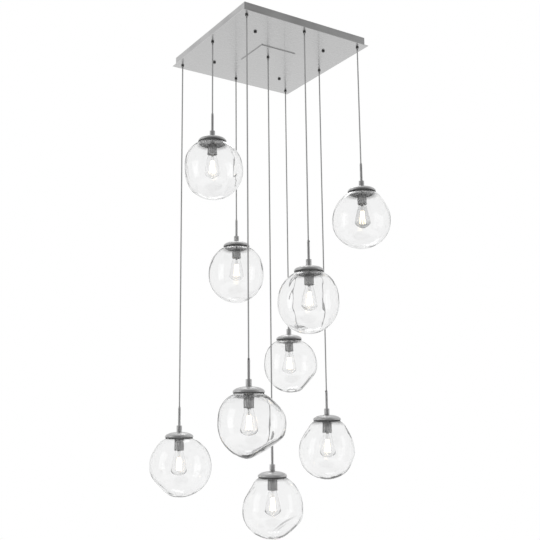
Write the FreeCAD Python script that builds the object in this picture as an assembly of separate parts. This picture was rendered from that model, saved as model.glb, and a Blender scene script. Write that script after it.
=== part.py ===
# Cluster pendant: nine blown-glass globes on straight cords under one square ceiling canopy.
#
# Millimetres, +Z up.  The origin is the centre of the bracket's top face, on the ceiling.
# +X and +Y run along the sides of the canopy, and the corner (-X, -Y) is the front corner:
# "right", "up" and "near" in the globe table are as seen by somebody who faces that corner.
# Pendants are numbered from the highest globe, 1, to the lowest, 9.

import FreeCAD, Part
import math
import os

from FreeCAD import Vector

# ---------------------------------------------------------------- driving dimensions
GRID = 250.0               # spacing of the nine cords, three by three

# canopy, hung on four studs under a flat bracket
CANOPY_DEPTH = 35.0        # ceiling to the underside of the faceplate
PLATE_SIDE = 560.0
PLATE_T = 2.0
BOX_SIDE = 542.0
SHEET_T = 1.5
BOX_FLANGE = 11.0
BOX_CORNER_R = 2.5
BRACKET_SIDE = 344.0
BRACKET_T = 3.0
STUD_XY = 156.0
STUD_R = 3.0
STUD_WELD_R = 5.0
STUD_WELD_H = 1.5
STUD_CLEARANCE = 0.3
STUD_TAIL = 3.4            # length below the faceplate, inside the cap nut
CAP_NUT_R = 6.0
CAP_NUT_H = 5.0
CAP_NUT_TEETH = 24
CAP_NUT_TOOTH = 0.35
CAP_NUT_TIP_R = 5.0
CAP_NUT_TIP_H = 1.0
CEILING_SCREW_SPACING = 280.0
CEILING_SCREW_R = 3.0
OUTLET_SLOT_SPACING = 88.9
OUTLET_SLOT_LENGTH = 22.0
OUTLET_SLOT_R = 2.3
OUTLET_Y = 90.0            # centre of the outlet box, clear of the terminal block
WIRE_ENTRY_R = 20.0

# access cover in the middle of the faceplate
COVER_SIDE = 155.0
COVER_H = 3.0
COVER_T = 1.2
OPENING_SIDE = 130.0
TAB_LENGTH = 40.0
TAB_RISE = 6.0
TAB_GAP = 0.5
MAGNET_R = 4.0
MAGNET_XY = 71.2

# cord grip: threaded body, nut above the sheet, ball seat in the nose
GRIP_THREAD_R = 4.4
GRIP_NOSE_R = 5.5
GRIP_NOSE_H = 4.0
GRIP_RISE = 12.0           # thread above the sheet that it holds
GRIP_BORE_R = 2.8
SEAT_R = 3.9
GRIP_NUT_AF = 13.0
GRIP_NUT_H = 4.0

# soft bush that bends with the cord, and the cord
BUSH_BALL_R = 3.5
BUSH_TOP_R = 3.3
BUSH_END_R = 2.9
BUSH_LENGTH = 9.0
BEND_GAP = 0.4             # between the bush and the rounded end of the cord
CORD_R = 2.5
CORD_IN_STEM = 12.0

# wiring inside the canopy
BLOCK_LENGTH = 110.0
BLOCK_WIDTH = 60.0
BLOCK_H = 14.0
BLOCK_CHAMFER = 1.5
BLOCK_PITCH = 18.0         # between the screws of one row
BLOCK_SCREW_R = 2.2
BLOCK_SCREW_H = 1.2
LEAD_R = 2.2
LEAD_BEND_R = 7.5
LEAD_TURN_R = 12.0
LEAD_DEPTH = 10.0          # below the ceiling
CORNER_LEAD_Y = 20.0
LEAD_IN_GRIP = 3.0         # how far a lead starts inside its grip
EARTH_SCREW = (-80.0, 60.0)
EARTH_CLAMP = (8.0, 12.0, 10.0)
EARTH_HEAD_R = 3.5
EARTH_HEAD_H = 2.5

# stem and cap of one pendant; heights run from the top of the cap, down is negative
STEM_R = 4.75
STEM_BORE_R = 2.9
STEM_FOOT = 8.0
STEM_TOP = 84.0
STEM_GRIP_R = 4.3
STEM_GRIP_TOP = 92.0
SET_SCREW_R = 2.4
SET_SCREW_TIP = 3.2        # from the axis to its tip, and below to its head
SET_SCREW_HEAD = 5.2
SET_SCREW_RISE = 4.0       # above the foot of the stem's grip
COLLAR_R = 10.0
COLLAR_H = 23.0
NIPPLE_R = 5.0
NIPPLE_BOTTOM = -25.0
CAP_R = 52.5
CAP_DOME_H = 18.0
CAP_H = 20.5
DOME_STEPS = 12
SEAT_PLATE_R = 45.0
SEAT_PLATE_TOP = -12.0
SEAT_SKIRT_R = 41.5        # skirt of the seat plate, which centres the glass neck
SEAT_SKIRT_BOTTOM = -30.0
SEAT_SKIRT_T = 1.2
GASKET_W = 3.0
GASKET_H = 3.0
NECK_RING_R = 50.4         # soft ring round the glass neck, under the cap's skirt
NECK_RING_TOP = -17.0
NECK_RING_BOTTOM = -24.0
LOCKNUT_AF = 16.0
LOCKNUT_H = 3.5
NECK_SCREW_R = 1.2
NECK_SCREW_DEPTH = 18.6
NECK_SCREW_HEAD = 53.0
NECK_SCREW_ANGLES = (30, 150, 270)

# lampholder and lamp
HOLDER_R = 18.0
HOLDER_TOP = -24.0
HOLDER_SHOULDER = -30.0
HOLDER_BOTTOM = -68.0
HOLDER_BORE_R = 15.0
LINER_R = 14.9
LINER_BORE_R = 13.4
LINER_T = 2.0
CONTACT_R = 3.0
BASE_R = 13.1
BASE_TIP_R = 4.0
BASE_TIP_H = 3.0
BASE_TOP = -38.0
BASE_BOTTOM = -64.0
LAMP_R = 29.0
LAMP_TIP = -160.0
LAMP_T = 1.0
LAMP_NECK_R = 12.7
LAMP_WIDEST = 0.77         # share of the way from the base to the tip
MOUNT_H = 28.0
MOUNT_FOOT_R = 6.0
MOUNT_TIP_R = 3.0
FILAMENTS = 4
FILAMENT_R = 1.8
FILAMENT_GAP = 1.5         # below the mount
FILAMENT_H = 46.5
FILAMENT_TOP_R = 6.0       # radius of the ring of filaments, at both ends
FILAMENT_LOW_R = 12.0

# blown globe
NECK_R = 46.0
NECK_TOP = -16.5
NECK_ROWS = (0.0, 2.5, 5.0)    # depths below its top of the rings that steer the neck
FREE_FROM = 0.89           # cosine of the angle from the top where presses begin to count
FREE_OVER = 0.12           # and the range of it over which they come in
SHOULDER_R = 50.0
SHOULDER_DEPTH = 25.0
GLASS_T = 3.0
BASE_EXTRA_T = 3.0         # more glass at the bottom
PONTIL_R = 9.0             # flat mark at the bottom
AROUND = 36                # rows of control points round the globe
DOWN = 17                  # and from its shoulder to its bottom

# One pendant: grid place, drop of its cap top below the canopy, the side that its set screw
# faces as (right, near), then its globe: half width, depth of its widest level and of its
# bottom, sideways lean of the body from the neck, its flat sides as (right, up, near, distance
# from the centre, softness) and its hollows as (right, up, near, angle it spreads over, depth).
PENDANTS = [
    dict(at=(-1, 0), drop=380, screw=(0.3, -1.0), half=110, widest=132, bottom=240, lean=4.0,
         flats=[(-0.95, -0.20, 0.25, 104, 24), (0.62, -0.72, 0.30, 103, 14)],
         hollows=[(0.75, -0.30, 0.60, 0.28, 2.5)]),
    dict(at=(1, -1), drop=561, screw=(0.3, -1.0), half=108.5, widest=135, bottom=236, lean=-5.0,
         flats=[(0.80, 0.55, 0.20, 111, 16)],
         hollows=[(-0.62, 0.45, 0.65, 0.24, 2.0), (0.60, 0.20, 0.77, 0.22, 2.0)]),
    dict(at=(0, 1), drop=703, screw=(0.3, -1.0), half=111, widest=136, bottom=250, lean=-1.5,
         flats=[(0.05, -0.98, 0.20, 111, 10)],
         hollows=[(0.50, 0.10, 0.86, 0.30, 1.5)]),
    dict(at=(0, -1), drop=886, screw=(0.8, 0.6), half=108.5, widest=134, bottom=241, lean=-4.0,
         flats=[(-0.75, -0.60, 0.30, 103, 14)],
         hollows=[(0.80, 0.10, 0.60, 0.26, 2.5), (-0.70, 0.10, 0.70, 0.26, 2.0)]),
    dict(at=(1, 1), drop=1068, screw=(0.3, -1.0), half=109, widest=128, bottom=237, lean=6.0,
         flats=[(0.74, -0.62, 0.10, 96, 12)],
         hollows=[(0.64, 0.07, 0.76, 0.24, 4.0)]),
    dict(at=(-1, -1), drop=1311, screw=(0.0, 1.0), half=112, widest=122, bottom=234, lean=9.5,
         flats=[(0.52, -0.86, 0.10, 91, 14), (0.80, 0.60, 0.10, 109, 12)],
         hollows=[(0.40, 0.20, 0.89, 0.30, 2.0)]),
    dict(at=(1, 0), drop=1398, screw=(-0.8, 0.6), half=106.5, widest=140, bottom=240, lean=-3.5,
         flats=[(-0.80, 0.60, 0.15, 111, 14), (0.83, 0.50, 0.20, 112, 14),
                (0.90, -0.42, 0.10, 103, 12)],
         hollows=[(0.80, 0.00, 0.60, 0.26, 4.0)]),
    dict(at=(-1, 1), drop=1456, screw=(0.3, -1.0), half=115, widest=128, bottom=237, lean=6.0,
         flats=[(-0.72, -0.69, 0.05, 102, 16), (-0.80, 0.60, 0.10, 115, 16)],
         hollows=[(0.72, 0.05, 0.69, 0.28, 4.5)]),
    dict(at=(0, 0), drop=1598, screw=(0.3, -1.0), half=109.5, widest=140, bottom=237, lean=0.0,
         flats=[(-0.80, 0.58, 0.10, 113, 16), (0.64, -0.74, 0.15, 92, 12)],
         hollows=[(-0.80, 0.10, 0.60, 0.24, 1.5), (0.75, 0.20, 0.60, 0.24, 1.5)]),
]

# ---------------------------------------------------------------- worked-out levels
UNDERSIDE = -CANOPY_DEPTH
PLATE_TOP = UNDERSIDE + PLATE_T
COVER_BOTTOM = UNDERSIDE - COVER_H
NEAR = Vector(-0.5426, -0.8400, 0)
RIGHT = Vector(0.8400, -0.5426, 0)
UP = Vector(0, 0, 1)
Z_AXIS = Vector(0, 0, 1)


# ---------------------------------------------------------------- small helpers
def rod(radius, low, high, x=0.0, y=0.0):
    """Upright cylinder between two heights."""
    return Part.makeCylinder(radius, high - low, Vector(x, y, low))


def tube(outer, inner, low, high, x=0.0, y=0.0):
    """Upright tube between two heights."""
    return rod(outer, low, high, x, y).cut(rod(inner, low - 1, high + 1, x, y))


def slab(side_x, side_y, low, high, x=0.0, y=0.0):
    """Rectangular plate centred on a point."""
    corner = Vector(x - side_x / 2, y - side_y / 2, low)
    return Part.makeBox(side_x, side_y, high - low, corner)


def hexagon(across_flats, bore, low, high, x=0.0, y=0.0):
    """Hexagonal nut with its hole."""
    reach = across_flats / math.sqrt(3)
    corners = [Vector(x + reach * math.cos(math.radians(60 * i)),
                      y + reach * math.sin(math.radians(60 * i)), low) for i in range(7)]
    prism = Part.Face(Part.makePolygon(corners)).extrude(Vector(0, 0, high - low))
    return prism.cut(rod(bore, low - 1, high + 1, x, y))


def turned(profile):
    """Solid turned about the Z axis from (radius, height) points joined by straight lines."""
    points = [Vector(r, 0, z) for r, z in profile]
    wire = Part.makePolygon(points + points[:1])
    return Part.Face(wire).revolve(Vector(0, 0, 0), Z_AXIS, 360)


def corners_of(distance):
    """The four points at plus and minus a distance in X and Y."""
    return [(sx * distance, sy * distance) for sx in (-1, 1) for sy in (-1, 1)]


def cord_exits():
    """Places of the nine cords; the middle one leaves through the access cover."""
    return [(p["at"][0] * GRID, p["at"][1] * GRID) for p in PENDANTS]


def sheet_under(x, y):
    """Underside of the sheet that a cord leaves through: access cover or faceplate."""
    return COVER_BOTTOM if (x, y) == (0, 0) else UNDERSIDE


def sheet_thickness(x, y):
    return COVER_T if (x, y) == (0, 0) else PLATE_T


# ---------------------------------------------------------------- canopy
def ceiling_bracket():
    """Flat steel plate on the ceiling: corner screw holes, outlet-box slots and wire entry."""
    plate = slab(BRACKET_SIDE, BRACKET_SIDE, -BRACKET_T, 0)
    holes = [rod(CEILING_SCREW_R, -BRACKET_T - 1, 1, x, y)
             for x, y in corners_of(CEILING_SCREW_SPACING / 2)]
    holes.append(rod(WIRE_ENTRY_R, -BRACKET_T - 1, 1, 0, OUTLET_Y))
    half_run = OUTLET_SLOT_LENGTH / 2 - OUTLET_SLOT_R
    for side in (-1, 1):
        middle = side * OUTLET_SLOT_SPACING / 2
        holes.append(slab(2 * half_run, 2 * OUTLET_SLOT_R, -BRACKET_T - 1, 1, middle, OUTLET_Y))
        for end in (-half_run, half_run):
            holes.append(rod(OUTLET_SLOT_R, -BRACKET_T - 1, 1, middle + end, OUTLET_Y))
    for hole in holes:
        plate = plate.cut(hole)
    return [plate]


def bracket_studs():
    """Weld studs that carry the canopy, each with its weld collar."""
    studs = []
    for x, y in corners_of(STUD_XY):
        stud = rod(STUD_R, UNDERSIDE - STUD_TAIL, -BRACKET_T, x, y)
        studs.append(stud.fuse(rod(STUD_WELD_R, -BRACKET_T - STUD_WELD_H, -BRACKET_T, x, y)))
    return studs


def cap_nut(x, y):
    """Knurled blind nut: a ring of small teeth, a plain tip and a threaded hole."""
    ring = []
    for i in range(2 * CAP_NUT_TEETH + 1):
        reach = CAP_NUT_R - (i % 2) * CAP_NUT_TOOTH
        angle = math.pi * i / CAP_NUT_TEETH
        ring.append(Vector(x + reach * math.cos(angle), y + reach * math.sin(angle), UNDERSIDE))
    body = Part.Face(Part.makePolygon(ring)).extrude(Vector(0, 0, CAP_NUT_TIP_H - CAP_NUT_H))
    tip = rod(CAP_NUT_TIP_R, UNDERSIDE - CAP_NUT_H, UNDERSIDE - CAP_NUT_H / 2, x, y)
    return body.fuse(tip).cut(rod(STUD_R, UNDERSIDE - STUD_TAIL, UNDERSIDE + 1, x, y))


def canopy_box():
    """Four side walls with a flange turned in at the bottom, open towards the ceiling."""
    outside = slab(BOX_SIDE, BOX_SIDE, PLATE_TOP, 0)
    upright = [e for e in outside.Edges if abs(e.BoundBox.ZLength - CANOPY_DEPTH + PLATE_T) < 0.1]
    outside = outside.makeFillet(BOX_CORNER_R, upright)
    inside = BOX_SIDE - 2 * SHEET_T
    hollow = slab(inside, inside, PLATE_TOP + SHEET_T, 1)
    mouth = slab(inside - 2 * BOX_FLANGE, inside - 2 * BOX_FLANGE, PLATE_TOP - 1, 1)
    return [outside.cut(hollow).cut(mouth)]


def faceplate():
    """Thin square sheet that overhangs the box, with holes for cord grips and studs."""
    plate = slab(PLATE_SIDE, PLATE_SIDE, UNDERSIDE, PLATE_TOP)
    plate = plate.cut(slab(OPENING_SIDE, OPENING_SIDE, UNDERSIDE - 1, PLATE_TOP + 1))
    for x, y in cord_exits():
        if (x, y) != (0, 0):
            plate = plate.cut(rod(GRIP_THREAD_R, UNDERSIDE - 1, PLATE_TOP + 1, x, y))
    for x, y in corners_of(STUD_XY):
        plate = plate.cut(rod(STUD_R + STUD_CLEARANCE, UNDERSIDE - 1, PLATE_TOP + 1, x, y))
    return [plate]


def access_cover():
    """Shallow tray over the access opening, with four locating tabs and the middle grip hole."""
    tray = slab(COVER_SIDE, COVER_SIDE, COVER_BOTTOM, UNDERSIDE)
    inner = COVER_SIDE - 2 * COVER_T
    tray = tray.cut(slab(inner, inner, COVER_BOTTOM + COVER_T, UNDERSIDE + 1))
    reach = OPENING_SIDE / 2 - COVER_T / 2 - TAB_GAP
    floor = COVER_BOTTOM + COVER_T
    for side in (-1, 1):
        tray = tray.fuse(slab(COVER_T, TAB_LENGTH, floor, UNDERSIDE + TAB_RISE, side * reach, 0))
        tray = tray.fuse(slab(TAB_LENGTH, COVER_T, floor, UNDERSIDE + TAB_RISE, 0, side * reach))
    return [tray.cut(rod(GRIP_THREAD_R, COVER_BOTTOM - 1, UNDERSIDE, 0, 0))]


def cover_magnets():
    """Four disc magnets that hold the tray to the steel faceplate."""
    floor = COVER_BOTTOM + COVER_T
    return [rod(MAGNET_R, floor, UNDERSIDE, x, y) for x, y in corners_of(MAGNET_XY)]


def cord_grip(x, y):
    """Threaded cord grip: nose with a ball seat under the sheet, bore for the cord."""
    under = sheet_under(x, y)
    mouth = under - GRIP_NOSE_H
    top = under + GRIP_RISE
    body = rod(GRIP_NOSE_R, mouth, under, x, y).fuse(rod(GRIP_THREAD_R, under, top, x, y))
    body = body.cut(rod(GRIP_BORE_R, mouth - 1, top + 1, x, y))
    return body.cut(Part.makeSphere(SEAT_R, Vector(x, y, mouth)))


def grip_nut(x, y):
    low = sheet_under(x, y) + sheet_thickness(x, y)
    return hexagon(GRIP_NUT_AF, GRIP_THREAD_R, low, low + GRIP_NUT_H, x, y)


def terminal_block():
    """Insulated block under the bracket, behind the access cover."""
    block = slab(BLOCK_LENGTH, BLOCK_WIDTH, -BRACKET_T - BLOCK_H, -BRACKET_T)
    upright = [e for e in block.Edges if e.BoundBox.ZLength > BLOCK_H / 2]
    return [block.makeChamfer(BLOCK_CHAMFER, upright)]


def terminal_screws():
    """A clamping screw for each lead, and one for the earth lead."""
    top = -BRACKET_T - BLOCK_H
    places = [(i * BLOCK_PITCH, side * BLOCK_WIDTH / 4) for i in range(-2, 3) for side in (-1, 1)]
    return [rod(BLOCK_SCREW_R, top - BLOCK_SCREW_H, top, x, y) for x, y in places]


def lead(points, bends):
    """Insulated lead along straight runs joined by tangent arcs, one radius for each bend."""
    points = [Vector(*p) for p in points]
    edges = []
    start = points[0]
    for before, corner, after, radius in zip(points, points[1:], points[2:], bends):
        back = (before - corner).normalize()
        ahead = (after - corner).normalize()
        half_turn = (math.pi - back.getAngle(ahead)) / 2
        cut_back = radius * math.tan(half_turn)
        arc_in = corner + back * cut_back
        arc_out = corner + ahead * cut_back
        inward = (back + ahead).normalize()
        arc_mid = corner + inward * (radius / math.cos(half_turn) - radius)
        edges.append(Part.LineSegment(start, arc_in).toShape())
        edges.append(Part.Arc(arc_in, arc_mid, arc_out).toShape())
        start = arc_out
    edges.append(Part.LineSegment(start, points[-1]).toShape())
    path = Part.Wire(edges)
    across = Part.Wire(Part.makeCircle(LEAD_R, points[0], points[1] - points[0]))
    return path.makePipeShell([across], True, False)


def inner_leads():
    """One lead from each cord grip to the terminal block, and a short earth lead."""
    leads = []
    level = -LEAD_DEPTH
    for x, y in cord_exits():
        start = (x, y, sheet_under(x, y) + GRIP_RISE - LEAD_IN_GRIP)
        side_x = math.copysign(1, x)
        side_y = math.copysign(1, y)
        if (x, y) == (0, 0):
            leads.append(rod(LEAD_R, start[2], -BRACKET_T - BLOCK_H, 0, 0))
        elif x == 0:
            leads.append(lead([start, (0, y, level), (0, side_y * BLOCK_WIDTH / 2, level)],
                              [LEAD_BEND_R]))
        elif y == 0:
            leads.append(lead([start, (x, 0, level), (side_x * BLOCK_LENGTH / 2, 0, level)],
                              [LEAD_BEND_R]))
        else:
            row = side_y * CORNER_LEAD_Y
            leads.append(lead([start, (x, y, level), (x, row, level),
                               (side_x * BLOCK_LENGTH / 2, row, level)],
                              [LEAD_BEND_R, LEAD_TURN_R]))
    earth_x, earth_y = EARTH_SCREW
    into_block = -2 * BLOCK_PITCH
    leads.append(lead([(earth_x + EARTH_CLAMP[0] / 2, earth_y, level),
                       (into_block, earth_y, level),
                       (into_block, BLOCK_WIDTH / 2, level)], [LEAD_TURN_R]))
    return leads


def earth_screw():
    """Screw and clamp block for the earth lead, under the bracket."""
    x, y = EARTH_SCREW
    length, width, height = EARTH_CLAMP
    low = -BRACKET_T - height
    clamp = slab(length, width, low, -BRACKET_T, x, y)
    return [clamp.fuse(rod(EARTH_HEAD_R, low - EARTH_HEAD_H, low, x, y))]


# ---------------------------------------------------------------- pendant
def swing_height(x, y):
    """Height of the bush's ball centre, where the cord first bends."""
    return sheet_under(x, y) - GRIP_NOSE_H


def bend_height(x, y):
    """Height of the cord's rounded end, where it bends the other way."""
    return swing_height(x, y) - BUSH_LENGTH - BEND_GAP - CORD_R


def cord_bush(x, y):
    """Soft bush: a ball in the grip's seat and a tapered sleeve that bends with the cord."""
    pivot = swing_height(x, y)
    ball = Part.makeSphere(BUSH_BALL_R, Vector(x, y, pivot))
    sleeve = Part.makeCone(BUSH_END_R, BUSH_TOP_R, BUSH_LENGTH, Vector(x, y, pivot - BUSH_LENGTH))
    return ball.fuse(sleeve)


def cord(x, y, cap_top):
    """Straight round cord from the bush down into the top of the stem."""
    top = bend_height(x, y)
    low = cap_top + STEM_GRIP_TOP - CORD_IN_STEM
    run = rod(CORD_R, low, top, x, y)
    return run.fuse(Part.makeSphere(CORD_R, Vector(x, y, top)))


def dome(radius, height, top):
    """Points of a quarter ellipse from the stem's hole out to the rim."""
    points = []
    for i in range(DOME_STEPS + 1):
        angle = math.pi / 2 * i / DOME_STEPS
        reach = max(NIPPLE_R, radius * math.sin(angle))
        points.append((reach, top - height * (1 - math.cos(angle))))
    return points


def cap():
    """Spun dome with a short straight skirt and three tapped holes for the neck screws."""
    outer = dome(CAP_R, CAP_DOME_H, 0.0) + [(CAP_R, -CAP_H)]
    inner = dome(CAP_R - SHEET_T, CAP_DOME_H - SHEET_T, -SHEET_T) + [(CAP_R - SHEET_T, -CAP_H)]
    shell = turned(outer + inner[::-1])
    for screw in neck_screws():
        shell = shell.cut(screw)
    return shell


def neck_screws():
    """Three small screws through the skirt, with their tips on the soft ring round the neck."""
    screws = []
    for angle in NECK_SCREW_ANGLES:
        direction = Vector(math.cos(math.radians(angle)), math.sin(math.radians(angle)), 0)
        start = direction * NECK_RING_R + Vector(0, 0, -NECK_SCREW_DEPTH)
        length = NECK_SCREW_HEAD - NECK_RING_R
        screws.append(Part.makeCylinder(NECK_SCREW_R, length, start, direction))
    return screws


def neck_ring():
    """Soft ring between the glass neck and the cap's skirt, shaped to the glass inside."""
    waist = NECK_TOP - NECK_ROWS[-1]
    return turned([(NECK_R + 0.5, NECK_RING_TOP), (NECK_RING_R, NECK_RING_TOP),
                   (NECK_RING_R, NECK_RING_BOTTOM), (NECK_R + 2.5, waist),
                   (NECK_R + 0.5, waist + 3)])


def fitter(form):
    """Stem, collar, cap, glass seat and lampholder of one pendant, each a piece of its own."""
    grip = tube(STEM_GRIP_R, GRIP_BORE_R, STEM_TOP, STEM_GRIP_TOP)
    right, near = form["screw"]
    side = (RIGHT * right + NEAR * near).normalize()
    set_screw = Part.makeCylinder(SET_SCREW_R, SET_SCREW_HEAD - SET_SCREW_TIP,
                                  side * SET_SCREW_TIP + UP * (STEM_TOP + SET_SCREW_RISE), side)
    stem = tube(STEM_R, STEM_BORE_R, STEM_FOOT, STEM_TOP)
    collar = tube(COLLAR_R, NIPPLE_R, 0, STEM_FOOT).fuse(tube(COLLAR_R, STEM_R, STEM_FOOT, COLLAR_H))
    nipple = tube(NIPPLE_R, STEM_BORE_R, NIPPLE_BOTTOM, STEM_FOOT)
    plate_low = SEAT_PLATE_TOP - SHEET_T
    seat_plate = tube(SEAT_PLATE_R, NIPPLE_R, plate_low, SEAT_PLATE_TOP)
    seat_plate = seat_plate.fuse(tube(SEAT_SKIRT_R, SEAT_SKIRT_R - SEAT_SKIRT_T,
                                      SEAT_SKIRT_BOTTOM, plate_low))
    gasket = tube(SEAT_PLATE_R, SEAT_PLATE_R - GASKET_W, plate_low - GASKET_H, plate_low)
    locknut = hexagon(LOCKNUT_AF, NIPPLE_R, plate_low - LOCKNUT_H, plate_low)
    shell = turned([(NIPPLE_R, HOLDER_TOP), (HOLDER_R - 4, HOLDER_TOP),
                    (HOLDER_R, HOLDER_SHOULDER), (HOLDER_R, HOLDER_BOTTOM),
                    (HOLDER_BORE_R, HOLDER_BOTTOM), (HOLDER_BORE_R, HOLDER_SHOULDER - 1),
                    (NIPPLE_R, HOLDER_SHOULDER - 1)])
    floor = HOLDER_SHOULDER - 1 - LINER_T
    liner = turned([(0, HOLDER_SHOULDER - 1), (LINER_R, HOLDER_SHOULDER - 1),
                    (LINER_R, HOLDER_BOTTOM + LINER_T), (LINER_BORE_R, HOLDER_BOTTOM + LINER_T),
                    (LINER_BORE_R, floor), (0, floor)])
    contact = rod(CONTACT_R, BASE_TOP + BASE_TIP_H, floor)
    pieces = [grip.cut(set_screw), set_screw, stem, collar, nipple, cap(), seat_plate, gasket]
    return pieces + [neck_ring(), locknut, shell, liner, contact] + neck_screws()


def lamp_radius(share):
    """Half width of the lamp at a share of the way from its base to its tip."""
    if share < LAMP_WIDEST:
        along = share / LAMP_WIDEST
        return LAMP_NECK_R + (LAMP_R - LAMP_NECK_R) * along * (1.25 - 0.25 * along)
    fall = (share - LAMP_WIDEST) / (1 - LAMP_WIDEST)
    return LAMP_R * max(0.0, 1 - fall ** 2) ** 0.6


def lamp():
    """Filament lamp: screw base, hollow glass, glass mount and filament sticks."""
    length = BASE_BOTTOM - LAMP_TIP
    flank = [LAMP_WIDEST * i / 4 for i in range(5)]
    tip = [LAMP_WIDEST + (1 - LAMP_WIDEST) * math.sin(math.pi / 2 * i / 8) for i in range(1, 9)]
    outer = [(lamp_radius(s), BASE_BOTTOM - s * length) for s in flank + tip]
    inner = [(max(0.0, r - LAMP_T), max(z, LAMP_TIP + LAMP_T)) for r, z in outer[:-2]]
    inner.append((0.0, LAMP_TIP + LAMP_T))
    envelope = turned(outer + inner[::-1])
    base = rod(BASE_R, BASE_BOTTOM, BASE_TOP)
    base = base.fuse(rod(BASE_TIP_R, BASE_TOP, BASE_TOP + BASE_TIP_H))
    mount_end = BASE_BOTTOM - MOUNT_H
    mount = Part.makeCone(MOUNT_TIP_R, MOUNT_FOOT_R, MOUNT_H, Vector(0, 0, mount_end))
    pieces = [base, envelope, mount]
    for i in range(FILAMENTS):
        angle = 2 * math.pi * (i + 0.5) / FILAMENTS
        out = Vector(math.cos(angle), math.sin(angle), 0)
        top = out * FILAMENT_TOP_R + UP * (mount_end - FILAMENT_GAP)
        low = out * FILAMENT_LOW_R + UP * (mount_end - FILAMENT_GAP - FILAMENT_H)
        pieces.append(Part.makeCylinder(FILAMENT_R, (low - top).Length, top, low - top))
    return pieces


# ---------------------------------------------------------------- blown globe
def smooth_min(a, b, blend):
    """The smaller of two values, rounded over where they are within the blend of each other."""
    near = max(blend - abs(a - b), 0.0) / blend
    return min(a, b) - near ** 3 * blend / 6


def seen(right, up, near):
    """Unit vector from its parts as seen from the front corner."""
    return (RIGHT * right + UP * up + NEAR * near).normalize()


def globe_reach(form, direction):
    """Distance from the globe's centre to its outer face in a direction."""
    below_shoulder = form["widest"] - SHOULDER_DEPTH
    rise = below_shoulder / math.sqrt(1 - (SHOULDER_R / form["half"]) ** 2)
    fall = form["bottom"] - form["widest"]
    tall = rise if direction.z > 0 else fall
    flat_part = math.hypot(direction.x, direction.y) / form["half"]
    reach = 1 / math.hypot(flat_part, direction.z / tall)
    at_neck = min(1.0, max(0.0, (FREE_FROM - direction.z) / FREE_OVER))
    for right, up, near, distance, blend in form["flats"]:
        towards = direction.dot(seen(right, up, near))
        if towards > 0.3:
            flattened = smooth_min(reach, distance / towards, blend)
            reach += (flattened - reach) * at_neck
    for right, up, near, spread, depth in form["hollows"]:
        angle = math.acos(min(1.0, direction.dot(seen(right, up, near))))
        reach -= depth * math.exp(-(angle / spread) ** 2) * at_neck
    return reach


def globe_rows(form, wall):
    """Rings of control points from the neck down, for the outer face or one a wall inside it.

    A ring of control points lies a little outside the smooth surface that it steers, so the
    points are pushed out by the same share."""
    ring_share = (2 + math.cos(2 * math.pi / AROUND)) / 3
    start = math.asin(SHOULDER_R / form["half"])
    middle = Vector(0, 0, -form["widest"])
    turns = [2 * math.pi * i / AROUND for i in range(AROUND)]
    rows = [[Vector((NECK_R - wall) * math.cos(turn), (NECK_R - wall) * math.sin(turn),
                    NECK_TOP - depth) for turn in turns] for depth in NECK_ROWS]
    if wall:
        rows[0] = [point + UP for point in rows[0]]
    end = math.pi - math.asin(PONTIL_R / form["half"])
    row_share = (2 + math.cos((end - start) / (DOWN - 1))) / 3
    for j in range(DOWN):
        polar = start + (end - start) * j / (DOWN - 1)
        leaning = min(1.0, (polar - start) / (math.pi / 2 - start))
        offset = RIGHT * (form["lean"] * leaning * leaning * (3 - 2 * leaning))
        at_base = max(0.0, -math.cos(polar)) ** 3
        thick = (wall + BASE_EXTRA_T * at_base) if wall else 0.0
        row = []
        for turn in turns:
            direction = Vector(math.sin(polar) * math.cos(turn),
                               math.sin(polar) * math.sin(turn), math.cos(polar))
            reach = (globe_reach(form, direction) - thick) / row_share
            row.append(middle + offset + direction * reach)
        rows.append(row)
    floor = -form["bottom"] + (wall + BASE_EXTRA_T if wall else 0.0)
    rows[-1] = [Vector(p.x, p.y, floor) for p in rows[-1]]
    spread = []
    for row in rows:
        centre = sum(row, Vector()) * (1.0 / AROUND)
        spread.append([Vector(centre.x + (p.x - centre.x) / ring_share,
                              centre.y + (p.y - centre.y) / ring_share, p.z) for p in row])
    return spread


def ring_surface(rows):
    """Smooth surface that closes on itself round the globe, steered by rings of points."""
    columns = [[row[i] for row in rows] for i in range(AROUND)]
    spans = len(rows) - 3
    surface = Part.BSplineSurface()
    surface.buildFromPolesMultsKnots(
        columns,
        [1] * (AROUND + 1), [4] + [1] * (spans - 1) + [4],
        list(range(AROUND + 1)), list(range(spans + 1)),
        True, False, 3, 3)
    return surface.toShape()


def closed_blob(rows):
    """Solid inside a ring surface, closed flat at its neck and at its bottom."""
    side = ring_surface(rows)
    rims = [e for e in side.Edges if e.BoundBox.ZLength < 0.01]
    lids = [Part.Face(Part.Wire(rim)) for rim in rims]
    shell = Part.makeShell([side] + lids)
    shell.sewShape()
    solid = Part.Solid(shell)
    solid.fix(0.001, 0.001, 0.01)
    return solid


def globe(form):
    """Blown globe: a ground rim at the neck, thicker glass and a flat mark at the bottom."""
    outside = closed_blob(globe_rows(form, 0.0))
    inside = closed_blob(globe_rows(form, GLASS_T))
    return outside.cut(inside)


# ---------------------------------------------------------------- output
def export(node, solids):
    """Write one sub-part, whole or as a group of separate solids."""
    shape = solids[0] if len(solids) == 1 else Part.makeCompound(solids)
    shape.exportStep(os.path.join("parts", node + ".step"))
    volume = sum(s.Volume for s in solids)
    print("%-18s %2d solids %10.0f mm3 valid %s" % (node, len(solids), volume, shape.isValid()))


def moved(solids, place):
    return [s.translated(place) for s in solids]


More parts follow.
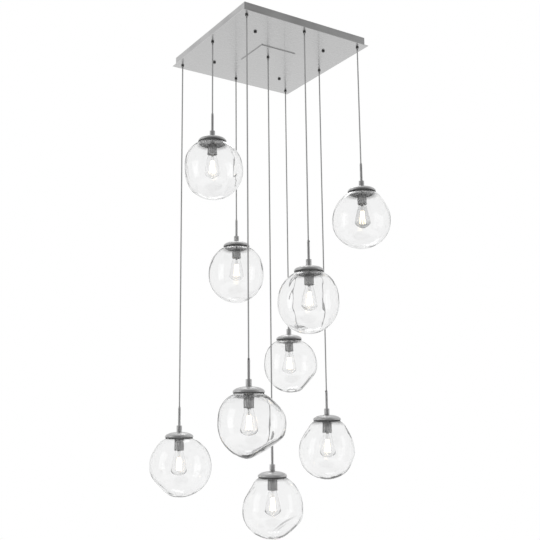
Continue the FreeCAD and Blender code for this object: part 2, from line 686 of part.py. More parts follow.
def main():
    os.makedirs("parts", exist_ok=True)
    exits = cord_exits()
    export("ceiling_bracket", ceiling_bracket())
    export("bracket_studs", bracket_studs())
    export("cap_nuts", [cap_nut(x, y) for x, y in corners_of(STUD_XY)])
    export("canopy_box", canopy_box())
    export("faceplate", faceplate())
    export("access_cover", access_cover())
    export("cover_magnets", cover_magnets())
    export("cord_grips", [cord_grip(x, y) for x, y in exits])
    export("grip_nuts", [grip_nut(x, y) for x, y in exits])
    export("terminal_block", terminal_block())
    export("terminal_screws", terminal_screws())
    export("inner_leads", inner_leads())
    export("earth_screw", earth_screw())
    for number, form in enumerate(PENDANTS, 1):
        x, y = exits[number - 1]
        cap_top = UNDERSIDE - form["drop"]
        place = Vector(x, y, cap_top)
        export("cord_bush_%d" % number, [cord_bush(x, y)])
        export("cord_%d" % number, [cord(x, y, cap_top)])
        export("fitter_%d" % number, moved(fitter(form), place))
        export("globe_%d" % number, moved([globe(form)], place))
        export("lamp_%d" % number, moved(lamp(), place))


main()
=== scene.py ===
# %% [markdown]
# # A cluster pendant of nine blown-glass globes
#
# The construction is already made: a canopy, nine cords, and on each cord a stem, a domed cap,
# a lampholder, a lamp and a globe.  This file dresses it.  It starts by loading that model as a
# fixed frame, because every visible piece has to sit where the model says and move with it.

import math

import bmesh
import bpy
from mathutils import Matrix, Quaternion, Vector


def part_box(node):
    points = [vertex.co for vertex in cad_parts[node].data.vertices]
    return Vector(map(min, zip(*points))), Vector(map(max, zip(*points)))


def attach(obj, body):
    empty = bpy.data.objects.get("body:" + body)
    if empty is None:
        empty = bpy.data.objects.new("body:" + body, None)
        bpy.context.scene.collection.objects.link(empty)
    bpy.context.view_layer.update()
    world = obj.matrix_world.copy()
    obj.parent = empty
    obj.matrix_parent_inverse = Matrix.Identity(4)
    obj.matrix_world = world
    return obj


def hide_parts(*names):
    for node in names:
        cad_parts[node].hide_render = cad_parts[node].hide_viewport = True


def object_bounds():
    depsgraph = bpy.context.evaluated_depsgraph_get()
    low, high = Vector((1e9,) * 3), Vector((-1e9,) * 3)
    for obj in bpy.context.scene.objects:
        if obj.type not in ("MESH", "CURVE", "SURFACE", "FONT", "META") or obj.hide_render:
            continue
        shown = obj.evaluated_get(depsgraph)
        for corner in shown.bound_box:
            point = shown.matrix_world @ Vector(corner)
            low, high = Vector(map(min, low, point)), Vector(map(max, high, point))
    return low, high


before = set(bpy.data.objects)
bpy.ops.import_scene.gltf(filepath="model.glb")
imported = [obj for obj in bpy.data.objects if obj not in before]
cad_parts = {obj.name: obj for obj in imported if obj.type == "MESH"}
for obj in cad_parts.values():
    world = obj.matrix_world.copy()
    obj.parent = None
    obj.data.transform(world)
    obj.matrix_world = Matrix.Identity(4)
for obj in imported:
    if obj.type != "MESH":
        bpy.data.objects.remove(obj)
cad_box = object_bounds()
PENDANTS = range(1, 10)
MM = 0.001

# %% [markdown]
# The camera comes first.  It stands off the front corner of the canopy, about level with the
# sixth globe, and looks slightly up.  Its place is in metres and its small roll in degrees, and
# the lens is given for a 36 mm wide sensor.

# %% Camera
CAMERA_PLACE = Vector((-1.6912, -2.6164, -1.4814))
CAMERA_LOOK = Vector((0.5332, 0.8255, 0.1849))
CAMERA_ROLL = math.radians(-0.6)
LENS_MM = 56.04
SENSOR_MM = 36
FARTHEST_SEEN = 60


def make_camera():
    """Camera at its place, looking along its line, turned a little about that line."""
    camera = bpy.data.objects.new("camera", bpy.data.cameras.new("camera"))
    bpy.context.scene.collection.objects.link(camera)
    camera.data.lens = LENS_MM
    camera.data.sensor_width = SENSOR_MM
    camera.data.clip_end = FARTHEST_SEEN
    turn = CAMERA_LOOK.to_track_quat("-Z", "Y") @ Quaternion((0, 0, 1), CAMERA_ROLL)
    camera.matrix_world = Matrix.Translation(CAMERA_PLACE) @ turn.to_matrix().to_4x4()
    bpy.context.scene.camera = camera


make_camera()
look_up = math.asin(CAMERA_LOOK.normalized().z)
print("camera looks up", round(math.degrees(look_up), 1), "degrees")

# %% [markdown]
# Each cord carries its pendant, so it hangs dead straight: it is one smooth curve with its
# control points on a plumb line.  The model gives both ends, from the soft bush at the canopy
# to inside the stem.  A curve with a round bevel is enough; its pattern comes from its material.
# The bevel is 1 and each point's radius is the cord's own, because that radius is counted when
# the room that a curve takes is worked out.  The top end is rounded over half a diameter, so that
# it turns freely inside its bush: its point is thinner and the next two are close below it.

# %% Cords
CORD_DIAMETER = 5 * MM
CORD_POINTS = 5
ROUNDED_END = ((0.0, 0.40), (1.5 * MM, 1.0), (3.5 * MM, 1.0))     # way down, share of the radius


def node_centre(node):
    """Middle of a node's box in plan, with its lowest and highest level."""
    low, high = (Vector(corner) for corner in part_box(node))
    return (low.x + high.x) / 2, (low.y + high.y) / 2, low.z, high.z


def make_cord(number):
    """One straight cord as a beveled curve, as long as the model's cord."""
    x, y, bottom, top = node_centre("cord_%d" % number)
    curve = bpy.data.curves.new("hanging_cord_%d" % number, "CURVE")
    curve.dimensions = "3D"
    spline = curve.splines.new("NURBS")
    route = [(top - down, share) for down, share in ROUNDED_END]
    route += [(top + (bottom - top) * i / (CORD_POINTS - 1), 1.0) for i in range(1, CORD_POINTS)]
    spline.points.add(len(route) - 1)
    for point, (level, share) in zip(spline.points, route):
        point.co = (x, y, level, 1)
        point.radius = CORD_DIAMETER / 2 * share
    spline.order_u = 3
    spline.use_endpoint_u = True
    curve.bevel_depth = 1.0
    curve.bevel_resolution = 5
    curve.resolution_u = 6
    curve.use_fill_caps = True
    cord = bpy.data.objects.new(curve.name, curve)
    bpy.context.scene.collection.objects.link(cord)
    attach(cord, "hanging_cord_%d" % number)
    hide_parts("cord_%d" % number)
    return cord


cords = [make_cord(number) for number in PENDANTS]
print("cord lengths, m:", [round(cord.dimensions.z, 3) for cord in cords])

# %% [markdown]
# Both the shapes and the finishes below are written as node trees.  Wiring nodes by hand makes
# long scripts, so this small class lets a tree be written as ordinary arithmetic: adding or
# multiplying two flows makes the math node and its links.

# %% Arithmetic for node trees


class Flow:
    """A number or a vector that flows through a node tree."""

    def __init__(self, tree, socket):
        self.tree = tree
        self.socket = socket

    def __add__(self, other):
        return maths(self.tree, "ADD", self, other)

    def __sub__(self, other):
        return maths(self.tree, "SUBTRACT", self, other)

    def __rsub__(self, other):
        return maths(self.tree, "SUBTRACT", other, self)

    def __mul__(self, other):
        return maths(self.tree, "MULTIPLY", self, other)

    def __truediv__(self, other):
        return maths(self.tree, "DIVIDE", self, other)

    def __rtruediv__(self, other):
        return maths(self.tree, "DIVIDE", other, self)

    def __pow__(self, other):
        return maths(self.tree, "POWER", self, other)


def feed(tree, socket, value):
    """Link a flow to a socket, or set the socket's own value."""
    if isinstance(value, Flow):
        tree.links.new(value.socket, socket)
    else:
        socket.default_value = value


def maths(tree, operation, *values):
    """One Math node; flows are linked and numbers are set."""
    node = tree.nodes.new("ShaderNodeMath")
    node.operation = operation
    for socket, value in zip(node.inputs, values):
        feed(tree, socket, value)
    return Flow(tree, node.outputs[0])


def vectors(tree, operation, *values, number=False):
    """One Vector Math node; number asks for its single value, such as a dot product."""
    node = tree.nodes.new("ShaderNodeVectorMath")
    node.operation = operation
    chosen = [node.inputs[0], node.inputs["Scale"]] if operation == "SCALE" else node.inputs
    for socket, value in zip(chosen, values):
        feed(tree, socket, value)
    return Flow(tree, node.outputs["Value" if number else "Vector"])


print("node arithmetic ready")

# %% [markdown]
# A few sums come up in nearly every tree: keeping a share within its limits, easing it in and
# out, and putting a vector together or taking it apart.  Each gets a short name here.

# %% Sums that come up often


def clamp01(tree, value):
    """The value, kept from 0 to 1."""
    return maths(tree, "MINIMUM", maths(tree, "MAXIMUM", value, 0.0), 1.0)


def smooth_step(tree, value):
    """Eases a share from 0 to 1 in and out."""
    share = clamp01(tree, value)
    return share * share * (3.0 - share * 2.0)


def add_node(tree, kind, **inputs):
    """A node with its inputs set or linked by name; underscores stand for spaces."""
    node = tree.nodes.new(kind)
    for name, value in inputs.items():
        feed(tree, node.inputs[name.replace("_", " ")], value)
    return node


def combine(tree, x, y, z):
    """Vector from three numbers or flows."""
    return Flow(tree, add_node(tree, "ShaderNodeCombineXYZ", X=x, Y=y, Z=z).outputs[0])


def separate(tree, vector):
    """The three numbers of a vector."""
    node = add_node(tree, "ShaderNodeSeparateXYZ", Vector=vector)
    return [Flow(tree, socket) for socket in node.outputs]


print("short names:", [f.__name__ for f in (clamp01, smooth_step, combine, separate)])

# %% [markdown]
# ## Finishes
#
# Every finish is procedural and reads object coordinates, which are metres here, so a pattern's
# scale is a real size.  A picture could be wrapped round each piece instead, but it would need
# unwrapping and would blur close up.  These helpers are what all the finishes share.

# %% Material helpers


def new_material(name):
    """Material with a Principled shader; returns it with its tree and the shader."""
    material = bpy.data.materials.new(name)
    material.use_nodes = True
    tree = material.node_tree
    return material, tree, tree.nodes["Principled BSDF"]


def object_place(tree):
    """The point's place in the object's own axes, in metres."""
    return Flow(tree, tree.nodes.new("ShaderNodeTexCoord").outputs["Object"])


def surface_turn(tree):
    """The direction that the surface faces, in the object's own axes."""
    return Flow(tree, tree.nodes.new("ShaderNodeTexCoord").outputs["Normal"])


def noise(tree, place, stretch, detail=3.0, roughness=0.5):
    """Noise from 0 to 1; stretch gives its cycles per metre along X, Y and Z."""
    scaled = vectors(tree, "MULTIPLY", place, stretch)
    node = add_node(tree, "ShaderNodeTexNoise", Vector=scaled, Scale=1.0, Detail=detail,
                    Roughness=roughness)
    return Flow(tree, node.outputs["Fac"])


def between(tree, share, low, high):
    """Colour or number that runs from low to high with a share."""
    if not isinstance(low, tuple):
        return share * (high - low) + low
    node = tree.nodes.new("ShaderNodeMix")
    node.data_type = "RGBA"
    feed(tree, node.inputs["Factor"], share)
    node.inputs["A"].default_value = (*low, 1)
    node.inputs["B"].default_value = (*high, 1)
    return Flow(tree, node.outputs["Result"])


def bump(tree, shader, height, distance):
    """Bump of a real height, in metres."""
    node = add_node(tree, "ShaderNodeBump", Height=height, Distance=distance, Strength=1.0)
    tree.links.new(node.outputs["Normal"], shader.inputs["Normal"])


def grey(value):
    """Neutral colour of one value."""
    return (value, value, value)


print("material helpers ready")

# %% [markdown]
# Satin metal is never one flat grey: plating clouds a little, and the lathe or the brush leaves
# fine lines in one direction.  Noise that is stretched along those lines gives both the roughness
# and the bump.  The canopy is brushed sheet and the caps are turned, so their lines differ.

# %% Satin metals

CLOUDS_PER_METRE = 9
CLOUD_SHARE = 0.6          # of the change of tone; the brushed lines have the rest
LACQUER_ROUGHNESS = 0.03
# Painted shade on the access cover's edges, as a share of the brushed face's tone.
PAINTED_EDGE_SHADE = 0.65           # of the brushed face's tone
BRUSHED_SHEET = dict(dark=0.76, bright=0.84, lines=(7, 1400, 1400), rough=(0.22, 0.32),
                     line_height=0.003 * MM, lacquer=1.0)


def satin_metal(name, dark, bright, lines, rough=(0.28, 0.42), line_height=0.01 * MM, lacquer=0.0):
    """Plated metal: cloudy plating, fine lines along one direction, and a share of lacquer."""
    material, tree, shader = new_material(name)
    place = object_place(tree)
    clouds = noise(tree, place, (CLOUDS_PER_METRE,) * 3, detail=4)
    brushed = noise(tree, place, lines, detail=4, roughness=0.7)
    shade = clouds * CLOUD_SHARE + brushed * (1 - CLOUD_SHARE)
    feed(tree, shader.inputs["Base Color"], between(tree, shade, grey(dark), grey(bright)))
    feed(tree, shader.inputs["Roughness"], between(tree, brushed, *rough))
    shader.inputs["Metallic"].default_value = 1.0
    shader.inputs["Coat Weight"].default_value = lacquer
    shader.inputs["Coat Roughness"].default_value = LACQUER_ROUGHNESS
    bump(tree, shader, brushed, line_height)
    return material


turned_nickel = satin_metal("turned_satin_nickel", 0.60, 0.70, (60, 60, 2600), rough=(0.34, 0.46))
# The seat plate and the lampholder are the cap's satin nickel made darker: painted shade, where
# they stand under the cap inside the glass.
seat_nickel_painted_shade = satin_metal("seat_plate_nickel_painted_shade", 0.46, 0.56, (60, 60, 2600), rough=(0.36, 0.48))
holder_nickel_painted_shade = satin_metal("lampholder_nickel_painted_shade", 0.22, 0.30, (60, 60, 2600), rough=(0.26, 0.36))
sheet_nickel = satin_metal("brushed_sheet_nickel", **BRUSHED_SHEET)
# The canopy box is the faceplate's brushed sheet made darker, with strong clouds: painted shade,
# and painted reflections in the clouds.
box_nickel_painted_shade_and_reflections = satin_metal("brushed_box_nickel_painted_shade_and_reflections", 0.30, 0.92, (4, 4, 110), rough=(0.24, 0.36),
                         line_height=0.004 * MM, lacquer=0.6)
cover_nickel_painted_edge_shade = satin_metal("brushed_cover_nickel_painted_edge_shade", **BRUSHED_SHEET)
dark_nickel = satin_metal("dark_nickel", 0.06, 0.14, (300, 300, 900), rough=(0.35, 0.5))
zinc_plate = satin_metal("zinc_plated_steel", 0.48, 0.66, (70, 70, 70), rough=(0.3, 0.55))
lamp_nickel = satin_metal("lamp_base_nickel", 0.55, 0.75, (80, 80, 1800), rough=(0.2, 0.35))
brass = satin_metal("plated_brass_screw", 0.45, 0.6, (500, 500, 500))


def paint_edge_shade(material):
    """Painted shade: faces that don't face up or down, the cover's edges and the gap round it, are
    darker than the brushed face.
    """
    tree = material.node_tree
    shader = tree.nodes["Principled BSDF"]
    colour = shader.inputs["Base Color"].links[0].from_socket
    upward = separate(tree, surface_turn(tree))[2]
    sideways = maths(tree, "LESS_THAN", maths(tree, "ABSOLUTE", upward), 0.5)
    shaded = vectors(tree, "SCALE", Flow(tree, colour), sideways * (PAINTED_EDGE_SHADE - 1.0) + 1.0)
    feed(tree, shader.inputs["Base Color"], shaded)


# The access cover's edges get painted shade, for the dark gap round it.
paint_edge_shade(cover_nickel_painted_edge_shade)
print("metals:", [m.name for m in bpy.data.materials if "nickel" in m.name])

# %% [markdown]
# The moulded pieces are matt, with a faint grain.  The cord's sleeve is a fine braid: two sets
# of strands wind round it in opposite directions.  A straight upright cord shows its own winding
# angle in the direction that its surface faces, so the braid needs no picture and no unwrapping.

# %% Plastics, rubber and cord braid

GRAINS_PER_METRE = 1500
GRAIN_HEIGHT = 0.02 * MM
GRAIN_SHINE = 0.08         # how far the grain moves the roughness
STRANDS = 12
BRAID_PITCH = 11 * MM
BRAID_HEIGHT = 0.15 * MM


def moulded(name, dark, bright, rough):
    """Moulded plastic or rubber with a fine grain and a slow change of tone."""
    material, tree, shader = new_material(name)
    place = object_place(tree)
    fine = noise(tree, place, (GRAINS_PER_METRE,) * 3, detail=2)
    slow = noise(tree, place, (25, 25, 25), detail=2)
    feed(tree, shader.inputs["Base Color"], between(tree, slow, dark, bright))
    feed(tree, shader.inputs["Roughness"], between(tree, fine, rough - GRAIN_SHINE,
                                                   rough + GRAIN_SHINE))
    bump(tree, shader, fine, GRAIN_HEIGHT)
    return material


def braided_sleeve():
    """Cord sleeve: strands that wind both ways, as a height, and a tone that is darker between
    them, which is painted shade.
    """
    material, tree, shader = new_material("braided_cord_sleeve")
    place = object_place(tree)
    east, north = separate(tree, surface_turn(tree))[:2]
    angle = maths(tree, "ARCTAN2", north, east)
    climb = separate(tree, place)[2] * (2 * math.pi / BRAID_PITCH)
    one_way = maths(tree, "SINE", (angle + climb) * (STRANDS / 2))
    other_way = maths(tree, "SINE", (angle - climb) * (STRANDS / 2))
    height = maths(tree, "MAXIMUM", one_way, other_way) * 0.5 + 0.5
    wear = noise(tree, place, (200, 200, 40))
    # The tone follows the height: the grooves between the strands are painted shade, and the wear
    # is the sleeve's own.
    tone = height * 0.7 + wear * 0.3
    feed(tree, shader.inputs["Base Color"], between(tree, tone, grey(0.24), grey(0.46)))
    shader.inputs["Roughness"].default_value = 0.6
    bump(tree, shader, height, BRAID_HEIGHT)
    return material


black_moulding = moulded("black_moulding", grey(0.018), grey(0.035), 0.5)
grey_bush = moulded("grey_bush", grey(0.22), grey(0.30), 0.6)
white_ceramic = moulded("white_lamp_liner", grey(0.62), grey(0.72), 0.35)
dark_rubber = moulded("dark_grey_rubber", grey(0.09), grey(0.14), 0.7)
terminal_plastic = moulded("terminal_plastic", grey(0.66), grey(0.76), 0.45)
lead_sleeve = moulded("lead_sleeve", grey(0.55), grey(0.68), 0.4)
cord_sleeve = braided_sleeve()
for cord in cords:
    cord.data.materials.append(cord_sleeve)
print("mouldings and braid:", len(bpy.data.materials), "materials so far")

# %% [markdown]
# Clear glass is all about its thickness.  The surface is mirror smooth, with slow ripples left
# by the blowpipe, and the glass itself takes a little light along the path: a short path in
# front, a long one at the edge, which is what draws the grey outline of a globe.

# %% Glass

GLASS_IOR = 1.5
GLASS_COLOUR = (0.55, 0.56, 0.56, 1)
BLOWN_TINT = 0.985
# Grey of the ground neck, and of the painted shade under its rim and along creases.
GREY_AND_SHADE_TINT = 0.30
CHILLED_ROUGHNESS = 0.1
BLOWN_GREY = 20.0          # absorption per metre of glass
LAMP_GREY = 35.0
DUSKY_GREY = 300.0


def clear_glass(name, tint, grey_per_metre, ripple_height, ripple_scale):
    """Glass with slow ripples and a little absorption inside its walls."""
    material, tree, shader = new_material(name)
    place = object_place(tree)
    shader.inputs["Base Color"].default_value = (*grey(tint), 1)
    shader.inputs["Roughness"].default_value = 0.0
    shader.inputs["IOR"].default_value = GLASS_IOR
    shader.inputs["Transmission Weight"].default_value = 1.0
    ripples = noise(tree, place, (ripple_scale, ripple_scale, ripple_scale * 0.5), detail=2)
    bump(tree, shader, ripples, ripple_height)
    absorb = tree.nodes.new("ShaderNodeVolumeAbsorption")
    absorb.inputs["Color"].default_value = GLASS_COLOUR
    absorb.inputs["Density"].default_value = grey_per_metre
    output = tree.nodes["Material Output"]
    tree.links.new(absorb.outputs["Volume"], output.inputs["Volume"])
    return material


def show_chill_and_painted_shade(material):
    """Where the mesh carries the grey mark the glass is grey: the ground neck, and painted shade
    under its rim and along creases.
    """
    tree = material.node_tree
    shader = tree.nodes["Principled BSDF"]
    mark = tree.nodes.new("ShaderNodeAttribute")
    mark.attribute_name = "chill_and_painted_shade"
    share = Flow(tree, mark.outputs["Fac"])
    feed(tree, shader.inputs["Base Color"], between(tree, share, grey(BLOWN_TINT),
                                                     grey(GREY_AND_SHADE_TINT)))
    feed(tree, shader.inputs["Roughness"], share * CHILLED_ROUGHNESS)


blown_glass = clear_glass("blown_glass", BLOWN_TINT, BLOWN_GREY, 0.12 * MM, 18)
show_chill_and_painted_shade(blown_glass)
lamp_glass = clear_glass("lamp_glass", 0.99, LAMP_GREY, 0.02 * MM, 60)
dusky_glass = clear_glass("dusky_lamp_glass", 0.97, DUSKY_GREY, 0.02 * MM, 60)
print("blown glass: index", GLASS_IOR, "and grey of", BLOWN_GREY, "per metre")

# %% [markdown]
# The lamps' light is four thin glowing sticks.  Their glow is an emission on their own material,
# just bright enough to be white in the picture, so they don't light the room by themselves.

# %% Filament


def glowing_filament():
    """Thin carbon-coated stick that glows warm, with faint streaks along it."""
    material, tree, shader = new_material("glowing_filament")
    streak = noise(tree, object_place(tree), (900, 900, 220))
    glow = between(tree, streak, (1.0, 0.78, 0.50), (1.0, 0.90, 0.72))
    feed(tree, shader.inputs["Base Color"], glow)
    feed(tree, shader.inputs["Emission Color"], glow)
    shader.inputs["Emission Strength"].default_value = 2.6
    shader.inputs["Roughness"].default_value = 0.5
    return material


filament_glow = glowing_filament()
print("filament:", filament_glow.name)

# %% [markdown]
# ## Blown globes
#
# A globe starts as a sphere on the blowpipe, a little taller than wide.  While it is soft the
# maker presses it, which leaves flats and shallow hollows, and each globe ends up its own shape.
# That is a rule, so the globe is a Geometry Nodes tree: a flat grid is wrapped round twice, once
# as the inner wall and once as the outer, and every point is pushed out along its own direction.
# Two small groups hold the maker's two moves, the flat and the hollow.

# %% The maker's two moves as node groups


def new_group(name, inputs, output_name, output_type):
    """Node group with named inputs; returns its tree, its input flows and its output socket."""
    tree = bpy.data.node_groups.new(name, "GeometryNodeTree")
    for label, kind in inputs:
        tree.interface.new_socket(name=label, in_out="INPUT", socket_type="NodeSocket" + kind)
    tree.interface.new_socket(name=output_name, in_out="OUTPUT",
                              socket_type="NodeSocket" + output_type)
    entry = tree.nodes.new("NodeGroupInput")
    exit_node = tree.nodes.new("NodeGroupOutput")
    flows = {label: Flow(tree, entry.outputs[label]) for label, kind in inputs}
    return tree, flows, exit_node.inputs[0]


PRESS_INPUTS = [("Reach", "Float"), ("Direction", "Vector"), ("Towards", "Vector"),
                ("Size", "Float"), ("Softness", "Float"), ("Freedom", "Float")]
LEAST_FACING = 0.3         # keeps a flat's plane from running off behind the globe


def facing(tree, direction, towards):
    """Cosine of the angle between a point's direction and another one."""
    return vectors(tree, "DOT_PRODUCT", direction, vectors(tree, "NORMALIZE", towards),
                   number=True)


def angle_to(tree, direction, towards):
    """Angle between a point's direction and another one, in radians."""
    return maths(tree, "ARCCOSINE", maths(tree, "MINIMUM", facing(tree, direction, towards), 1.0))


def bell(tree, share):
    """1 in the middle, fading to 0 on both sides."""
    return maths(tree, "EXPONENT", share * share * -1.0)


def flat_group():
    """Flattens one side: the reach may not pass a plane, rounded over where they meet."""
    tree, given, result = new_group("pressed_flat", PRESS_INPUTS, "Reach", "Float")
    cosine = facing(tree, given["Direction"], given["Towards"])
    plane = given["Size"] / maths(tree, "MAXIMUM", cosine, LEAST_FACING)
    pressed = maths(tree, "SMOOTH_MIN", given["Reach"], plane, given["Softness"])
    feed(tree, result, given["Reach"] + (pressed - given["Reach"]) * given["Freedom"])
    return tree


def hollow_group():
    """Presses a round hollow: deepest in its middle, fading with the angle from it."""
    tree, given, result = new_group("pressed_hollow", PRESS_INPUTS, "Reach", "Float")
    fade = bell(tree, angle_to(tree, given["Direction"], given["Towards"]) / given["Softness"])
    feed(tree, result, given["Reach"] - given["Size"] * fade * given["Freedom"])
    return tree


pressed_flat = flat_group()
pressed_hollow = hollow_group()
print("groups:", pressed_flat.name, pressed_hollow.name)

# %% [markdown]
# The globe's tree.  Its grid runs once round in X, and in Y from the bottom of the inner wall,
# over the ground rim of the neck, to the bottom of the outer wall.  The neck is a short upright
# collar that the cap grips; from there down, a point's direction is its angle from the top.
# The tree's inputs come first: sizes, the maker's presses, and the marks, lines of painted shade.

# %% The globe tree's inputs

FLATS = 3
HOLLOWS = 3
MARKS = 2
AROUND = 168
ROWS = 201
NECK_SHARE = 0.05          # part of a wall's rows that is neck
NECK_COLLAR = 4 * MM
EASE_FROM = 0.6            # the shoulder begins on the neck's own rows, as a share of them
EASE_OVER = 0.9
FREE_FROM = 0.89           # cosine of the angle from the top where presses begin to count
FREE_OVER = 0.12
FULLNESS = 2.25            # 2 is a plain ellipse; above the widest level the glass is fuller
MERGED = 0.01 * MM         # points closer than this are one
RIPPLE_SCALE = 3.2
RIPPLE_STRETCH = (1.0, 1.0, 0.45)
INNER_SEED = 7.3           # the inner wall's ripples are others than the outer wall's

PRESS_SIZES = {"Flat": ("distance", "softness"), "Hollow": ("depth", "spread")}
MARK_SIZES = ("radius", "middle", "length", "strength")


def input_names(kind, count):
    """Names such as Flat 1, Flat 2 and Flat 3."""
    return ["%s %d" % (kind, i) for i in range(1, count + 1)]


GLOBE_INPUTS = [("Geometry", "Geometry"), ("Centre", "Vector"), ("Half width", "Float"),
                ("Rise", "Float"), ("Fall", "Float"), ("Lean", "Vector"), ("Wall", "Float"),
                ("Base glass", "Float"), ("Heavy side", "Vector"), ("Heavy glass", "Float"),
                ("Neck glass", "Float"), ("Neck radius", "Float"), ("Neck height", "Float"),
                ("Shoulder radius", "Float"), ("Ripple", "Float"), ("Seed", "Float"),
                ("Material", "Material")]
for press in input_names("Flat", FLATS) + input_names("Hollow", HOLLOWS):
    GLOBE_INPUTS.append((press, "Vector"))
    GLOBE_INPUTS += [(press + " " + size, "Float") for size in PRESS_SIZES[press.split()[0]]]
for mark in input_names("Mark", MARKS):
    GLOBE_INPUTS.append((mark, "Vector"))
    GLOBE_INPUTS += [(mark + " " + size, "Vector" if size == "middle" else "Float")
                     for size in MARK_SIZES]
print("globe tree inputs:", len(GLOBE_INPUTS))

# %% [markdown]
# Grey lines of painted shade are drawn where creases and the rims of dents look dark.  On a globe
# such a line is part of a circle, so it is measured in angles.  The neck is ground, so it is grey
# too, and its grey runs a little way down the shoulder as painted shade under the rim.  Both are
# kept with the mesh as an attribute, which the glass reads.

# %% Tool marks and the ground neck

# The neck's grey runs a little way down the shoulder before it fades: that part is painted shade
# under the rim.
MARK_WIDTH = 0.028         # radians
GROUND_AND_SHADE_SHARE = 0.030       # rows below the neck over which its ground face fades out
GROUND_GREY_AND_SHADE = 0.9


def painted_crease_shade(tree, direction, circle, radius, middle, length, strength):
    """Painted shade along a crease: a grey line, a part of a circle drawn on the globe."""
    line = bell(tree, (angle_to(tree, direction, circle) - radius) / MARK_WIDTH)
    part = bell(tree, angle_to(tree, direction, middle) / length)
    return line * part * strength


def grey_neck_and_painted_shade(tree, given, direction, share):
    """How grey the glass is: the ground neck, with painted shade under its rim, and painted shade
    along creases.
    """
    chill_and_painted_shade = (1.0 - smooth_step(tree, (share - NECK_SHARE) / GROUND_AND_SHADE_SHARE)) * GROUND_GREY_AND_SHADE
    for name in input_names("Mark", MARKS):
        sizes = [given[name + " " + size] for size in MARK_SIZES]
        chill_and_painted_shade = maths(tree, "MAXIMUM", chill_and_painted_shade, painted_crease_shade(tree, direction, given[name], *sizes))
    return chill_and_painted_shade


print("a tool mark is", round(math.degrees(MARK_WIDTH), 1), "degrees wide")

# %% [markdown]
# The form itself is one distance from the centre for each direction.  It starts as the sphere's,
# and each press makes it shorter.

# %% The globe's form


def wall_grid(tree):
    """Flat grid, with each point's share of the way down, its turn, and 1 on the inner wall."""
    grid = add_node(tree, "GeometryNodeMeshGrid", Size_X=1.0, Size_Y=1.0,
                    Vertices_X=AROUND + 1, Vertices_Y=ROWS)
    place = Flow(tree, tree.nodes.new("GeometryNodeInputPosition").outputs[0])
    across, half_along = separate(tree, place)[:2]
    turn = (across + 0.5) * (2 * math.pi)
    along = half_along * 2.0
    share = maths(tree, "ABSOLUTE", along)
    inside = 1.0 - maths(tree, "GREATER_THAN", along, 0.0)
    return grid, share, turn, inside


def sphere_reach(tree, given, sine, cosine):
    """Distance to the glass before any press; above the widest level it is a little fuller."""
    above = maths(tree, "GREATER_THAN", cosine, 0.0)
    tall = given["Rise"] * above + given["Fall"] * (1.0 - above)
    power = above * (FULLNESS - 2.0) + 2.0
    wide_part = (sine / given["Half width"]) ** power
    tall_part = maths(tree, "ABSOLUTE", cosine / tall) ** power
    return (wide_part + tall_part) ** (-1.0 / power)


def press_all(tree, given, reach, direction, freedom):
    """The distance after each flat and each hollow, one press after another."""
    presses = [(pressed_flat, name) for name in input_names("Flat", FLATS)]
    presses += [(pressed_hollow, name) for name in input_names("Hollow", HOLLOWS)]
    for group, name in presses:
        size, softness = (given[name + " " + part] for part in PRESS_SIZES[name.split()[0]])
        node = tree.nodes.new("GeometryNodeGroup")
        node.node_tree = group
        values = dict(Reach=reach, Direction=direction, Towards=given[name], Size=size,
                      Softness=softness, Freedom=freedom)
        for label, value in values.items():
            feed(tree, node.inputs[label], value)
        reach = Flow(tree, node.outputs["Reach"])
    return reach


print("grid of", AROUND, "by", ROWS - 1, "faces")

# %% [markdown]
# Ripples and the wall's thickness are taken off that distance last.  Clear glass shows little of
# its surface, so it is mostly these two that make it look blown: they bend what is seen through
# it.  The neck is left even, because the cap has to grip it.

# %% Ripples, thickness and neck


def ripples(tree, given, direction, inside):
    """Slow waves, other ones on each wall, which makes the glass a weak uneven lens."""
    ripple = tree.nodes.new("ShaderNodeTexNoise")
    ripple.noise_dimensions = "4D"
    stretched = vectors(tree, "MULTIPLY", direction, RIPPLE_STRETCH)
    values = dict(Vector=stretched, W=given["Seed"] + inside * INNER_SEED, Scale=RIPPLE_SCALE,
                  Detail=1.0)
    for label, value in values.items():
        feed(tree, ripple.inputs[label], value)
    return Flow(tree, ripple.outputs[0]) * given["Ripple"]


def wall_glass(tree, given, direction, cosine):
    """Thickness of the wall: there is more glass at the bottom, the neck and the heavy side."""
    at_base = maths(tree, "MAXIMUM", cosine * -1.0, 0.0) ** 3.0
    at_neck = maths(tree, "MAXIMUM", cosine, 0.0) ** 2.0
    heavy = maths(tree, "MAXIMUM", facing(tree, direction, given["Heavy side"]), 0.0) ** 6.0
    wall = given["Wall"] + given["Base glass"] * at_base + given["Heavy glass"] * heavy
    return wall + given["Neck glass"] * at_neck


def neck_collar(tree, given, share, east, north, inside):
    """The short upright neck."""
    radius = given["Neck radius"] - given["Wall"] * inside
    drop = clamp01(tree, share / NECK_SHARE) * NECK_COLLAR
    return combine(tree, radius * east, radius * north, given["Neck height"] - drop)


def pass_through(tree, source, *steps):
    """Send geometry through nodes, one after another; returns what leaves the last one."""
    for step in steps:
        tree.links.new(source, step.inputs["Geometry"])
        source = step.outputs[0]
    return source


print("neck collar", round(NECK_COLLAR / MM, 1), "mm high")

# %% [markdown]
# The tree puts these steps together.  The neck is eased into the shoulder, the widest part leans
# a little to one side, and the seam and the two poles are merged, so the wall is one closed skin.

# %% The blown globe tree


